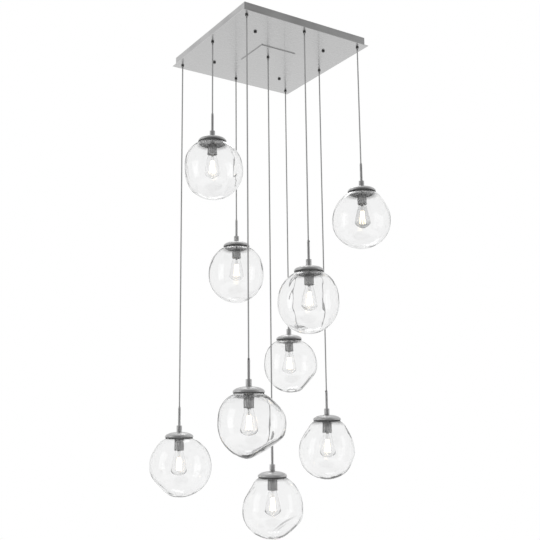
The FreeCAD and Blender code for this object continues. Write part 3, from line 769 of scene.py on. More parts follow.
def globe_tree():
    """Geometry Nodes tree of a blown globe with a wall of real thickness."""
    tree, given, result = new_group("blown_globe", GLOBE_INPUTS, "Geometry", "Geometry")
    grid, share, turn, inside = wall_grid(tree)

    # direction of each point from the globe's centre
    start = maths(tree, "ARCSINE", given["Shoulder radius"] / given["Half width"])
    down = clamp01(tree, (share - NECK_SHARE) / (1 - NECK_SHARE))
    polar = start + (math.pi - start) * down
    sine = maths(tree, "SINE", polar)
    cosine = maths(tree, "COSINE", polar)
    east = maths(tree, "COSINE", turn)
    north = maths(tree, "SINE", turn)
    direction = combine(tree, sine * east, sine * north, cosine)

    # the distance in that direction; near the neck the presses don't count
    freedom = clamp01(tree, (FREE_FROM - cosine) / FREE_OVER)
    reach = press_all(tree, given, sphere_reach(tree, given, sine, cosine), direction, freedom)
    wave = ripples(tree, given, direction, inside) * freedom * -1.0
    reach = reach + wave - wall_glass(tree, given, direction, cosine) * inside
    leaning = smooth_step(tree, (polar - start) / ((math.pi / 2) - start))
    body = vectors(tree, "ADD", vectors(tree, "SCALE", direction, reach),
                   vectors(tree, "SCALE", given["Lean"], leaning))

    # the neck, eased into the shoulder
    neck = neck_collar(tree, given, share, east, north, inside)
    ease = smooth_step(tree, (share - NECK_SHARE * EASE_FROM) / (NECK_SHARE * EASE_OVER))
    blended = vectors(tree, "ADD", vectors(tree, "SCALE", neck, 1.0 - ease),
                      vectors(tree, "SCALE", body, ease))
    final = vectors(tree, "ADD", blended, given["Centre"])

    # Grey of the ground neck, with painted shade under its rim and along creases, kept with the
    # mesh.
    chill_and_painted_shade = grey_neck_and_painted_shade(tree, given, direction, share)
    globe = pass_through(tree, grid.outputs["Mesh"],
                         add_node(tree, "GeometryNodeStoreNamedAttribute", Name="chill_and_painted_shade",
                                  Value=chill_and_painted_shade),
                         add_node(tree, "GeometryNodeSetPosition", Position=final),
                         add_node(tree, "GeometryNodeMergeByDistance", Distance=MERGED),
                         tree.nodes.new("GeometryNodeSetShadeSmooth"),
                         tree.nodes.new("GeometryNodeRealizeInstances"),
                         add_node(tree, "GeometryNodeSetMaterial", Material=given["Material"]))
    tree.links.new(globe, result)
    return tree


blown_globe = globe_tree()
print("blown globe tree:", len(blown_globe.nodes), "nodes")

# %% [markdown]
# The nine globes.  Each has its half width, the depth of its widest level below the cap, its
# lean, and the presses of the tool.  Directions are given as right, up and near, as seen from
# the front corner of the canopy, which is how one looks at a globe when shaping it.

# %% Globe forms

RIGHT = Vector((0.8400, -0.5426, 0.0))
NEAR = Vector((-0.5426, -0.8400, 0.0))
UP = Vector((0.0, 0.0, 1.0))
CAP_TOP_ABOVE_NECK = 16.5 * MM
NECK_R = 46 * MM
SHOULDER_R = 50 * MM
SHOULDER_DEPTH = 25 * MM
WALL = 2.6 * MM
RIPPLE = 0.9 * MM
LIGHT_NECK = 0.3           # extra glass at the neck, in mm, where a form doesn't say
LIGHT_BASE = 1.0

# half: half width in mm; widest: depth of the widest level below the cap's top in mm
# lean: how far the globe leans to the right in mm; neck, base: extra glass in mm
# flats: right, up, near, distance from the centre in mm, softness in mm
# hollows: right, up, near, spread in radians, depth in mm
# heavy: right, up, near, extra glass in mm
# marks, lines of painted shade along creases: circle's centre, its radius in radians, middle
# of the line, its length in radians, strength
GLOBES = {
    1: dict(half=110, widest=132, lean=4.0, neck=1.5, heavy=(0.5, -0.8, 0.3, 2),
            flats=[(-0.95, -0.20, 0.25, 104, 24), (0.62, -0.72, 0.30, 103, 14)],
            hollows=[(0.75, -0.30, 0.60, 0.40, 1.5)],
            marks=[((0.0, -0.3, 0.95), 0.60, (0.30, -0.78, 0.55), 0.08, 0.5)]),
    2: dict(half=108.5, widest=135, lean=-5.0, heavy=(0.0, -1.0, 0.0, 1),
            flats=[(0.80, 0.55, 0.20, 111, 16)],
            hollows=[(-0.62, 0.45, 0.65, 0.24, 2.0), (0.60, 0.20, 0.77, 0.22, 2.0)]),
    3: dict(half=111, widest=136, lean=-1.5, neck=1.0, heavy=(0.1, -1.0, 0.1, 1),
            flats=[(0.05, -0.98, 0.20, 111, 10)],
            hollows=[(0.50, 0.10, 0.86, 0.30, 1.5)],
            marks=[((0.05, -0.99, 0.12), 0.30, (0.05, -0.95, 0.30), 0.5, 0.4)]),
    4: dict(half=108.5, widest=134, lean=-4.0, neck=1.0, heavy=(-0.7, -0.6, 0.3, 2),
            flats=[(-0.75, -0.60, 0.30, 103, 14)],
            hollows=[(0.80, 0.10, 0.60, 0.26, 2.0)]),
    5: dict(half=109, widest=128, lean=6.0, heavy=(0.5, -0.85, 0.0, 1),
            flats=[(0.74, -0.62, 0.10, 96, 12)],
            hollows=[(0.64, 0.07, 0.76, 0.24, 4.0), (0.02, -0.96, 0.28, 0.12, 1.4)],
            marks=[((0.02, -0.96, 0.28), 0.16, (0.02, -0.96, 0.28), 1.0, 1.0)]),
    6: dict(half=112, widest=122, lean=9.5, base=2.5, neck=4.0, heavy=(0.4, -0.9, 0.0, 5),
            flats=[(0.52, -0.86, 0.10, 91, 14), (0.80, 0.60, 0.10, 109, 12)],
            hollows=[(0.40, 0.20, 0.89, 0.30, 2.0)]),
    7: dict(half=106.5, widest=140, lean=-3.5, heavy=(0.3, -0.95, 0.0, 1),
            flats=[(-0.80, 0.60, 0.15, 114, 36), (0.83, 0.50, 0.20, 115, 36),
                   (0.90, -0.42, 0.10, 103, 12)],
            hollows=[(0.80, 0.00, 0.60, 0.26, 4.0)]),
    8: dict(half=115, widest=128, lean=6.0, heavy=(-0.6, -0.8, 0.0, 1),
            flats=[(-0.72, -0.69, 0.05, 102, 16), (-0.80, 0.60, 0.10, 115, 16)],
            hollows=[(0.72, 0.05, 0.69, 0.28, 4.5)]),
    9: dict(half=109.5, widest=140, lean=0.0, heavy=(0.5, -0.8, 0.3, 1),
            flats=[(-0.80, 0.58, 0.10, 113, 30), (0.64, -0.74, 0.15, 98, 20)],
            hollows=[(-0.80, 0.10, 0.60, 0.24, 1.5), (0.75, 0.20, 0.60, 0.24, 1.5),
                     (0.45, -0.50, 0.74, 0.26, 4)],
            marks=[((0.55, -0.75, 0.37), 0.74, (0.34, -0.262, 0.902), 0.34, 0.8),
                   ((0.55, -0.75, 0.37), 0.64, (0.20, -0.42, 0.89), 0.22, 0.5)]),
}
print("globe forms:", len(GLOBES))

# %% [markdown]
# A tree only makes something when an object wears it as a modifier, so each piece starts as an
# empty holder.  Its inputs are set by identifier, because the modifier keeps them under those.
# What comes out is kept as a plain mesh, and the holder is thrown away.

# %% Running a tree


def socket_id(tree, name):
    """Identifier of a tree's input, by the name that a person reads."""
    for item in tree.interface.items_tree:
        if item.item_type == "SOCKET" and item.in_out == "INPUT" and item.name == name:
            return item.identifier
    raise KeyError(name)


def run_tree(name, tree, values):
    """Plain mesh object made by a tree with these input values."""
    holder = bpy.data.objects.new(name + "_holder", bpy.data.meshes.new(name + "_holder"))
    bpy.context.scene.collection.objects.link(holder)
    modifier = holder.modifiers.new("shape", "NODES")
    modifier.node_group = tree
    for label, value in values.items():
        modifier[socket_id(tree, label)] = value
    evaluated = holder.evaluated_get(bpy.context.evaluated_depsgraph_get())
    mesh = bpy.data.meshes.new_from_object(evaluated)
    holder.modifiers.remove(modifier)
    bpy.data.objects.remove(holder)
    mesh.name = name
    piece = bpy.data.objects.new(name, mesh)
    bpy.context.scene.collection.objects.link(piece)
    return piece


def outward(mesh):
    """Turn a closed mesh's faces outwards if its volume comes out negative."""
    work = bmesh.new()
    work.from_mesh(mesh)
    if work.calc_volume(signed=True) < 0:
        bmesh.ops.reverse_faces(work, faces=work.faces)
    volume = work.calc_volume()
    work.to_mesh(mesh)
    work.free()
    return volume


print("the globe tree keeps its Centre under", socket_id(blown_globe, "Centre"))

# %% [markdown]
# A form above is written for a person, so it is turned into the tree's inputs: directions become
# vectors and millimetres become metres.  A globe with fewer presses or marks than the tree can
# take gets some that do nothing.

# %% From a form to the tree's inputs

# these do nothing: a direction as seen, then sizes in metres or radians, in the inputs' order
NO_FLAT = (0.0, -1.0, 0.0, 1000 * MM, 10 * MM)
NO_HOLLOW = (0.0, -1.0, 0.0, 0.0, 0.3)
NO_MARK = ((0.0, -1.0, 0.0), 0.3, (0.0, -1.0, 0.0), 1.0, 0.0)


def seen(right, up, near):
    """Vector from its parts as seen from the front corner."""
    return RIGHT * right + UP * up + NEAR * near


def press_values(kind, presses):
    """Inputs of the flats or the hollows; both are a direction and two numbers."""
    values = {}
    for name, (right, up, near, *numbers) in zip(input_names(kind, len(presses)), presses):
        values[name] = seen(right, up, near)
        for size, number in zip(PRESS_SIZES[kind], numbers):
            values[name + " " + size] = number
    return values


def mark_values(marks):
    """Inputs of the tool's marks."""
    values = {}
    for name, (circle, radius, middle, length, strength) in zip(input_names("Mark", MARKS), marks):
        values[name] = seen(*circle)
        for size, value in zip(MARK_SIZES, (radius, seen(*middle), length, strength)):
            values[name + " " + size] = value
    return values


def globe_values(number):
    """Inputs of the globe tree: the frame gives the neck and the bottom, the form the rest."""
    form = GLOBES[number]
    low, high = (Vector(corner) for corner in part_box("globe_%d" % number))
    x, y = node_centre("cord_%d" % number)[:2]
    cap_top = high.z + CAP_TOP_ABOVE_NECK
    centre_z = cap_top - form["widest"] * MM
    half = form["half"] * MM
    rise = cap_top - SHOULDER_DEPTH - centre_z
    rise /= (1 - (SHOULDER_R / half) ** FULLNESS) ** (1 / FULLNESS)
    heavy = form["heavy"]
    flats = [(*flat[:3], flat[3] * MM, flat[4] * MM) for flat in form["flats"]]
    flats += [NO_FLAT] * (FLATS - len(flats))
    hollows = [(*hollow[:3], hollow[4] * MM, hollow[3]) for hollow in form["hollows"]]
    hollows += [NO_HOLLOW] * (HOLLOWS - len(hollows))
    marks = form.get("marks", [])
    marks = marks + [NO_MARK] * (MARKS - len(marks))
    return {"Centre": (x, y, centre_z), "Half width": half, "Rise": rise,
            "Fall": centre_z - low.z, "Lean": RIGHT * form["lean"] * MM, "Wall": WALL,
            "Base glass": form.get("base", LIGHT_BASE) * MM,
            "Neck glass": form.get("neck", LIGHT_NECK) * MM,
            "Heavy side": seen(*heavy[:3]), "Heavy glass": heavy[3] * MM,
            "Neck radius": NECK_R, "Neck height": high.z - centre_z,
            "Shoulder radius": SHOULDER_R, "Ripple": RIPPLE, "Seed": float(number),
            "Material": blown_glass, **press_values("Flat", flats),
            **press_values("Hollow", hollows), **mark_values(marks)}


print("inputs set for globe 1:", len(globe_values(1)))

# %% [markdown]
# Now each globe is blown.  The frame's own globe only says where the neck and the bottom are, and
# which pendant the glass hangs on.

# %% Blow the nine globes


def make_globe(number):
    """One globe, placed and registered; returns the volume of its glass."""
    piece = run_tree("blown_globe_%d" % number, blown_globe, globe_values(number))
    volume = outward(piece.data)
    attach(piece, "pendant_%d" % number)
    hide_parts("globe_%d" % number)
    return volume


glass_volumes = [make_globe(number) for number in PENDANTS]
print("glass in each globe, cm3:", [round(v * 1e6) for v in glass_volumes])

# %% [markdown]
# ## Stems, caps and lampholders
#
# All the metal on a pendant comes off a lathe or a spinning chuck, so each piece is a profile
# turned about the pendant's axis.  Heights are millimetres above the top of the cap, so that the
# profile reads like a workshop drawing.  Small chamfers matter: they catch the light.

# %% Lathe

LATHE_STEPS = 72
ON_AXIS = 1e-6             # a point this near the axis lies on it, so its ring is one point


def lathe(work, profile, steps=LATHE_STEPS):
    """Turn a closed (radius, height) profile, in millimetres, about the axis."""
    rings = []
    for radius, height in profile:
        if radius < ON_AXIS:
            rings.append([work.verts.new((0, 0, height * MM))])
            continue
        ring = []
        for i in range(steps):
            angle = 2 * math.pi * i / steps
            ring.append(work.verts.new((radius * math.cos(angle) * MM,
                                        radius * math.sin(angle) * MM, height * MM)))
        rings.append(ring)
    for one, two in zip(rings, rings[1:] + rings[:1]):
        if len(one) == 1 and len(two) == 1:
            continue
        for i in range(steps):
            j = (i + 1) % steps
            if len(one) == 1:
                work.faces.new((one[0], two[i], two[j]))
            elif len(two) == 1:
                work.faces.new((one[i], two[0], one[j]))
            else:
                work.faces.new((one[i], two[i], two[j], one[j]))


def tube_profile(outer, inner, low, high, chamfer):
    """Profile of a tube with its outer edges chamfered."""
    return [(inner, low), (outer - chamfer, low), (outer, low + chamfer),
            (outer, high - chamfer), (outer - chamfer, high), (inner, high)]


print("lathe ready,", LATHE_STEPS, "steps round")

# %% [markdown]
# Screws and the lamp's sticks don't stand on the pendant's axis, so they are short bars between
# two points.  Every drawing, turned or barred, is then made an object in the same way.

# %% Bars, and finishing a piece

BAR_CHAMFER = 0.3 * MM
BAR_END = 0.82             # of the bar's radius
SHARP_EDGE = math.radians(32)


def bar(work, radius, start, end, steps=20):
    """Short round bar between two points, in millimetres, with chamfered ends."""
    start, end = Vector(start) * MM, Vector(end) * MM
    along = (end - start).normalized()
    side = along.orthogonal().normalized()
    up = along.cross(side)
    rings = []
    for centre, shrink in ((start, BAR_END), (start + along * BAR_CHAMFER, 1.0),
                           (end - along * BAR_CHAMFER, 1.0), (end, BAR_END)):
        reach = radius * shrink * MM
        angles = [2 * math.pi * i / steps for i in range(steps)]
        rings.append([work.verts.new(centre + (side * math.cos(a) + up * math.sin(a)) * reach)
                      for a in angles])
    for one, two in zip(rings, rings[1:]):
        for i in range(steps):
            j = (i + 1) % steps
            work.faces.new((one[i], one[j], two[j], two[i]))
    work.faces.new(rings[0][::-1])
    work.faces.new(rings[-1])


def finish_piece(name, work, place, material):
    """Mesh object made from the work: faces outward, smooth, and sharp at its edges."""
    bmesh.ops.recalc_face_normals(work, faces=work.faces)
    bmesh.ops.translate(work, verts=work.verts, vec=place)
    mesh = bpy.data.meshes.new(name)
    work.to_mesh(mesh)
    work.free()
    mesh.shade_smooth()
    mesh.set_sharp_from_angle(angle=SHARP_EDGE)
    mesh.materials.append(material)
    piece = bpy.data.objects.new(name, mesh)
    bpy.context.scene.collection.objects.link(piece)
    return piece


print("edges sharper than", round(math.degrees(SHARP_EDGE)), "degrees stay sharp")

# %% [markdown]
# Each pendant has its own place: the axis of its cord, at the level of its cap's top.  All its
# pieces are made about that point, and ride on the pendant's body.  Each piece has a short
# function that draws it, given the mesh to draw in and the pendant's number.

# %% Places of the pendants

GRIP_TOP = 92.0


def pendant_place(number):
    """Top of the cap, on the cord's axis."""
    x, y = node_centre("cord_%d" % number)[:2]
    return Vector((x, y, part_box("fitter_%d" % number)[1][2] - GRIP_TOP * MM))


def make_pieces(number, node, pieces):
    """Build, place and register a pendant's pieces that stand for one of the model's nodes."""
    for name, build, material in pieces:
        work = bmesh.new()
        build(work, number)
        piece = finish_piece("%s_%d" % (name, number), work, pendant_places[number], material)
        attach(piece, "pendant_%d" % number)
        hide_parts("%s_%d" % (node, number))


pendant_places = {number: pendant_place(number) for number in PENDANTS}
print("cap tops, m:", [round(place.z, 3) for place in pendant_places.values()])

# %% [markdown]
# The cap is spun from sheet: a quarter ellipse that falls to a short skirt with a rolled edge.
# The stem above it is a tube with a grip for the cord, and a collar hides the joint between them.
# Three screws in the skirt hold the neck of the globe.

# %% Stem, collar and cap

CAP_R = 52.5
CAP_DOME = 18.0
CAP_BOTTOM = -20.5
SHEET = 1.5
DOME_STEPS = 20
NIPPLE_R = 5.0
CORD_HOLE_R = 2.9
STEM_R = 4.75
STEM_TOP = 84.0
GRIP_R = 4.6
GRIP_HOLE_R = 2.8
COLLAR_R = 10.0
COLLAR_TOP = 23.0
STEM_FOOT = 8.0
NECK_SCREW_ANGLES = (30, 150, 270)
NECK_SCREW_LEVEL = -18.6
NECK_SCREW_R = 1.2
NECK_SCREW_INNER = 50.4
NECK_SCREW_OUTER = 52.95


def dome(radius, height, top):
    """Quarter ellipse from the nipple's hole to the rim."""
    points = []
    for i in range(DOME_STEPS + 1):
        angle = math.pi / 2 * i / DOME_STEPS
        points.append((max(NIPPLE_R, radius * math.sin(angle)),
                       top - height * (1 - math.cos(angle))))
    return points


def cap_profile():
    """Outer dome, rolled rim and inner dome as one closed profile."""
    roll = [(CAP_R, CAP_BOTTOM + 0.7), (CAP_R - 0.2, CAP_BOTTOM + 0.2),
            (CAP_R - 0.75, CAP_BOTTOM), (CAP_R - 1.3, CAP_BOTTOM + 0.2),
            (CAP_R - SHEET, CAP_BOTTOM + 0.7)]
    inner = dome(CAP_R - SHEET, CAP_DOME - SHEET, -SHEET)
    return dome(CAP_R, CAP_DOME, 0.0) + roll + inner[::-1]


def stem_and_cap(work, number):
    """Everything that is turned from satin nickel on the outside."""
    lathe(work, tube_profile(STEM_R, CORD_HOLE_R, STEM_FOOT, STEM_TOP, 0.3), 40)
    lathe(work, [(GRIP_HOLE_R, STEM_TOP), (GRIP_R, STEM_TOP), (GRIP_R, STEM_TOP + 3),
                 (4.3, STEM_TOP + 3.6), (4.3, GRIP_TOP - 2), (3.6, GRIP_TOP),
                 (GRIP_HOLE_R, GRIP_TOP)], 40)
    lathe(work, [(NIPPLE_R, 0.1), (COLLAR_R - 0.6, 0.1), (COLLAR_R, 0.7),
                 (COLLAR_R, COLLAR_TOP - 1.4), (COLLAR_R - 0.4, COLLAR_TOP - 0.5),
                 (COLLAR_R - 1.4, COLLAR_TOP), (4.8, COLLAR_TOP), (4.8, STEM_FOOT),
                 (NIPPLE_R, STEM_FOOT)])
    lathe(work, cap_profile(), 120)
    level = UP * NECK_SCREW_LEVEL
    for angle in NECK_SCREW_ANGLES:
        out = Vector((math.cos(math.radians(angle)), math.sin(math.radians(angle)), 0))
        bar(work, NECK_SCREW_R, out * NECK_SCREW_INNER + level, out * NECK_SCREW_OUTER + level)


print("cap", CAP_R * 2, "mm wide, stem", STEM_R * 2, "mm")

# %% [markdown]
# Under the cap sits the seat plate that the glass is pulled up against.  Its skirt centres the
# neck and shows through the globe as a grey ring, and a gasket and a soft ring keep metal off
# the glass.

# %% Seat plate and rings

SEAT_R = 45.0
SEAT_TOP = -12.0
SEAT_UNDER = -13.5
SKIRT_R = 41.5
SKIRT_BOTTOM = -30.0
SOFT_R = 50.6
SOFT_TOP = -17.0
SOFT_BOTTOM = -24.3


def seat_plate(work, number):
    """Flat plate with a thin skirt that stands in the neck."""
    lathe(work, [(NIPPLE_R, SEAT_UNDER), (NIPPLE_R, SEAT_TOP), (SEAT_R - 0.4, SEAT_TOP),
                 (SEAT_R, SEAT_TOP - 0.4), (SEAT_R, SEAT_UNDER), (SKIRT_R, SEAT_UNDER),
                 (SKIRT_R, SKIRT_BOTTOM + 0.6), (SKIRT_R - 0.6, SKIRT_BOTTOM),
                 (SKIRT_R - 1.2, SKIRT_BOTTOM + 0.6), (SKIRT_R - 1.2, SEAT_UNDER)], 96)


def gasket(work, number):
    """Flat ring between the seat plate and the rim of the glass."""
    lathe(work, tube_profile(SEAT_R, SEAT_R - 3, -16.5, SEAT_UNDER, 0.5), 96)


def soft_ring(work, number):
    """Dark soft ring between the cap's skirt and the neck."""
    lathe(work, [(46.5, SOFT_TOP - 0.2), (46.7, SOFT_TOP), (SOFT_R - 0.2, SOFT_TOP),
                 (SOFT_R, SOFT_TOP - 0.2), (SOFT_R, SOFT_BOTTOM + 0.1),
                 (SOFT_R - 0.3, SOFT_BOTTOM), (48.7, -21.5), (46.5, -18.5)], 96)


print("seat plate", SEAT_R * 2, "mm wide, soft ring", SOFT_R * 2, "mm")

# %% [markdown]
# The lampholder hangs from the same threaded nipple, held by a locknut.  It is seen through the
# glass, so it gets its shoulder, its raised bead and its white liner.  One dark screw clamps the
# cord in the grip above; where the side it stands on can be seen, it is given.

# %% Lampholder and set screw

HOLDER_TOP = -24.0
HOLDER_R = 17.6
HOLDER_BEAD_R = 18.0
HOLDER_BORE_R = 15.1
HOLDER_BOTTOM = -68.0
LINER_R = 14.9
SET_SCREW_R = 2.4
SET_SCREW_INNER = 3.2
SET_SCREW_OUTER = 5.2
SET_SCREW_HIDDEN = (0.3, 0, -1)          # right, up, near, as for the sides that are seen
SET_SCREW_SIDES = {4: (0.8, 0, 0.6), 6: (0, 0, 1), 7: (-0.8, 0, 0.6)}


def lampholder(work, number):
    """Nipple, locknut, and the shell with a shoulder, a raised bead and a rolled mouth."""
    lathe(work, tube_profile(4.95, CORD_HOLE_R, HOLDER_TOP - 1, STEM_FOOT, 0.2), 40)
    lathe(work, tube_profile(8.6, NIPPLE_R, -17, SEAT_UNDER, 0.3), 6)
    lathe(work, [(NIPPLE_R, HOLDER_TOP), (13.0, HOLDER_TOP), (14.2, HOLDER_TOP - 0.6),
                 (17.2, -29.2), (HOLDER_R, -30.4), (HOLDER_R, -65), (HOLDER_BEAD_R, -65.6),
                 (HOLDER_BEAD_R, -67.2), (17.4, HOLDER_BOTTOM), (HOLDER_BORE_R, HOLDER_BOTTOM),
                 (HOLDER_BORE_R, -31), (NIPPLE_R, -31)])


def set_screw(work, number):
    """Dark screw in the side of the cord's grip."""
    out = seen(*SET_SCREW_SIDES.get(number, SET_SCREW_HIDDEN)).normalized()
    level = UP * (STEM_TOP + 4)
    bar(work, SET_SCREW_R, out * SET_SCREW_INNER + level, out * SET_SCREW_OUTER + level)


def liner(work, number):
    """White cup inside the lampholder, and the contact in its bottom."""
    lathe(work, [(0, -31), (LINER_R, -31), (LINER_R, -66), (LINER_R - 1.5, -66),
                 (LINER_R - 1.5, -33), (0, -33)])
    lathe(work, [(0, -35), (3, -35), (3, -33.1), (0, -33.1)], 24)


print("lampholder", HOLDER_R * 2, "mm wide,", HOLDER_TOP - HOLDER_BOTTOM, "mm long")

# %% [markdown]
# Seven pieces for each pendant, one for each finish, and all of them stand for the model's one
# fitter node.

# %% Fit the nine pendants

# The seat plate and the lampholder wear a darker copy of the cap's nickel, which is painted shade.
FITTER_PIECES = [("fitter_metal", stem_and_cap, turned_nickel),
                 ("fitter_holder", lampholder, holder_nickel_painted_shade),
                 ("fitter_seat", seat_plate, seat_nickel_painted_shade),
                 ("fitter_screw", set_screw, black_moulding),
                 ("fitter_gasket", gasket, grey_bush),
                 ("fitter_soft", soft_ring, dark_rubber),
                 ("fitter_liner", liner, white_ceramic)]
for number in PENDANTS:
    make_pieces(number, "fitter", FITTER_PIECES)
print("pieces on each fitter:", len(FITTER_PIECES))

# %% [markdown]
# ## Lamps
#
# The lamp is the old straight-sided shape: a cone that swells from a narrow neck to a tip, which
# is blunt on most lamps and pointed on two.  Its glass is thin, and inside it a glass mount
# carries four straight glowing sticks.  The screw base is a turned shell with a rounded thread.
# Its turns repeat, so a tree makes one ring and sets it on points along the base.

# %% Thread rings as a tree

THREADS = 6


def thread_tree():
    """Rounded rings, one above the other, that read as the thread of a screw base."""
    inputs = [("Geometry", "Geometry"), ("Centre", "Vector"), ("Radius", "Float"),
              ("Round", "Float"), ("Pitch", "Float"), ("Count", "Int"), ("Material", "Material")]
    tree, given, result = new_group("screw_thread", inputs, "Geometry", "Geometry")
    line = tree.nodes.new("GeometryNodeMeshLine")
    feed(tree, line.inputs["Count"], given["Count"])
    feed(tree, line.inputs["Offset"], combine(tree, 0.0, 0.0, given["Pitch"]))
    feed(tree, line.inputs["Start Location"], given["Centre"])
    ring = add_node(tree, "GeometryNodeCurvePrimitiveCircle", Resolution=48)
    feed(tree, ring.inputs["Radius"], given["Radius"])
    section = add_node(tree, "GeometryNodeCurvePrimitiveCircle", Resolution=10)
    feed(tree, section.inputs["Radius"], given["Round"])
    tube = tree.nodes.new("GeometryNodeCurveToMesh")
    tree.links.new(ring.outputs[0], tube.inputs["Curve"])
    tree.links.new(section.outputs[0], tube.inputs["Profile Curve"])
    spread = tree.nodes.new("GeometryNodeInstanceOnPoints")
    tree.links.new(line.outputs[0], spread.inputs["Points"])
    tree.links.new(tube.outputs[0], spread.inputs["Instance"])
    thread = pass_through(tree, spread.outputs[0],
                          tree.nodes.new("GeometryNodeRealizeInstances"),
                          add_node(tree, "GeometryNodeSetMaterial", Material=given["Material"]))
    tree.links.new(thread, result)
    return tree


screw_thread = thread_tree()
print("thread tree:", len(screw_thread.nodes), "nodes,", THREADS, "turns")

# %% [markdown]
# The lamp's glass is one profile, straight down the cone and then round the tip.  Points lie
# closer together towards the tip, where the curve is tighter.

# %% Lamp glass

LAMP_BASE_BOTTOM = -64.0
LAMP_TIP = -160.0
LAMP_R = 29.0
LAMP_NECK_R = 12.7
LAMP_GLASS = 1.0
LAMP_TIP_GLASS = 2.4
DUSKY = (2,)               # lamps whose glass is a little grey
POINTED = (2, 9)           # lamps whose tip is a cone; the others are blunter
POINTED_TIP = (1.7, 0.75)  # the two powers of the tip's curve
BLUNT_TIP = (2.4, 0.6)
CONE_BULGE = 0.25          # how much the cone swells past a straight line
WIDEST_SHARE = 0.77
LAMP_STEPS = 40


def lamp_radius(share, tip):
    """Half width at a share of the way from the base to the tip."""
    if share < WIDEST_SHARE:
        along = share / WIDEST_SHARE
        swell = along * (1 + CONE_BULGE - CONE_BULGE * along)
        return LAMP_NECK_R + (LAMP_R - LAMP_NECK_R) * swell
    fall = (share - WIDEST_SHARE) / (1 - WIDEST_SHARE)
    return LAMP_R * max(0.0, 1 - fall ** tip[0]) ** tip[1]


def lamp_envelope(work, number):
    """Outer face down to the tip, then the inner face back up."""
    tip = POINTED_TIP if number in POINTED else BLUNT_TIP
    shares = [math.sin(math.pi / 2 * i / LAMP_STEPS) ** 0.8 for i in range(LAMP_STEPS + 1)]
    length = LAMP_BASE_BOTTOM - LAMP_TIP
    outer = [(lamp_radius(s, tip), LAMP_BASE_BOTTOM - s * length) for s in shares]
    inner = [(max(0.0, lamp_radius(s, tip) - LAMP_GLASS),
              LAMP_BASE_BOTTOM - s * (length - LAMP_TIP_GLASS)) for s in shares]
    inner[-1] = (0.0, inner[-1][1])
    outer[-1] = (0.0, outer[-1][1])
    lathe(work, outer + inner[::-1], 80)


print("lamp glass", LAMP_R * 2, "mm wide and", LAMP_BASE_BOTTOM - LAMP_TIP, "mm long")

# %% [markdown]
# The rest of the lamp: a base whose thread comes from the tree above, a glass mount, and the
# four sticks, which spread a little towards the tip.

# %% Lamp base, mount and filaments

BASE_R = 12.2
THREAD_R = 12.1
THREAD_ROUND = 0.95
THREAD_PITCH = 3.63
THREAD_FOOT = -60.0
STICKS = 4
STICK_R = 1.8
STICK_TOP = (5, -93.5)     # distance from the axis, and level
STICK_BOTTOM = (10, -142)


def lamp_base(work, number):
    """Contact, insulator and threaded shell."""
    lathe(work, [(0, -35), (3.2, -35.2), (4, -36), (4.4, -38), (11.5, -38), (BASE_R, -39),
                 (BASE_R, -63), (13.0, -63.4), (13.0, LAMP_BASE_BOTTOM), (0, LAMP_BASE_BOTTOM)])
    rings = run_tree("thread_%d" % number, screw_thread,
                     {"Centre": (0, 0, THREAD_FOOT * MM), "Radius": THREAD_R * MM,
                      "Round": THREAD_ROUND * MM, "Pitch": THREAD_PITCH * MM,
                      "Count": THREADS, "Material": lamp_nickel})
    work.from_mesh(rings.data)
    bpy.data.objects.remove(rings)


def glass_mount(work, number):
    """Glass post that carries the sticks."""
    lathe(work, [(0, -64.2), (6.0, -64.2), (5.2, -70), (3.4, -78), (3.0, -90), (2.0, -92),
                 (0, -92.4)], 32)


def filaments(work, number):
    """Straight sticks round the axis."""
    for i in range(STICKS):
        angle = 2 * math.pi * (i + 0.5) / STICKS
        out = Vector((math.cos(angle), math.sin(angle), 0))
        ends = [out * reach + UP * level for reach, level in (STICK_TOP, STICK_BOTTOM)]
        bar(work, STICK_R, *ends, 16)


for number in PENDANTS:
    envelope = dusky_glass if number in DUSKY else lamp_glass
    make_pieces(number, "lamp", [("lamp_glass", lamp_envelope, envelope),
                                               ("lamp_base", lamp_base, lamp_nickel),
                                               ("lamp_mount", glass_mount, lamp_glass),
                                               ("lamp_filaments", filaments, filament_glow)])
print("lamps made, each with", STICKS, "sticks and", THREADS, "turns of thread")

# %% [markdown]
# ## Canopy and its fittings
#
# The canopy's sheet metal, the bracket and the fasteners already have their right shape in the
# model, so they stay, and only get their finish.

# %% Finishes on the model's own pieces

FINISHES = {
    "faceplate": sheet_nickel, "canopy_box": box_nickel_painted_shade_and_reflections, "access_cover": cover_nickel_painted_edge_shade,
    "ceiling_bracket": zinc_plate, "bracket_studs": zinc_plate, "grip_nuts": zinc_plate,
    "cap_nuts": dark_nickel, "cover_magnets": zinc_plate, "cord_grips": black_moulding,
    "terminal_block": terminal_plastic, "terminal_screws": brass, "inner_leads": lead_sleeve,
    "earth_screw": brass,
}
for number in PENDANTS:
    FINISHES["cord_bush_%d" % number] = grey_bush
for name, material in FINISHES.items():
    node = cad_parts[name]
    node.data.materials.clear()
    node.data.materials.append(material)
print("finished", len(FINISHES), "of the model's own pieces")

# %% [markdown]
# ## Studio
#
# The background is white for anything that looks at it straight, or through glass.  What the
# metal and the glass mirror is the same white room, shaded: bright behind the object and above
# it, and darker towards the viewer and the floor, as in a real studio.

# %% Helpers for the room


def seen_by(tree, *kinds):
    """1 for rays of these kinds, such as Camera or Glossy, and 0 for all others."""
    path = tree.nodes.new("ShaderNodeLightPath")
    share = Flow(tree, path.outputs["Is %s Ray" % kinds[0]])
    for kind in kinds[1:]:
        share = maths(tree, "MAXIMUM", share, Flow(tree, path.outputs["Is %s Ray" % kind]))
    return share


def mix_shaders(tree, share, one, two):
    """Shader that goes from one to two with a share."""
    mix = tree.nodes.new("ShaderNodeMixShader")
    feed(tree, mix.inputs[0], share)
    tree.links.new(one.outputs[0], mix.inputs[1])
    tree.links.new(two.outputs[0], mix.inputs[2])
    return mix


print("room helpers ready")

# %% [markdown]
# A picture of a real room could be mirrored instead, but four rules are enough here: a middle
# grey, more of it from behind and from upright directions, a floor that gets darker towards one's
# feet, and a darkest and a brightest tone.

# %% World

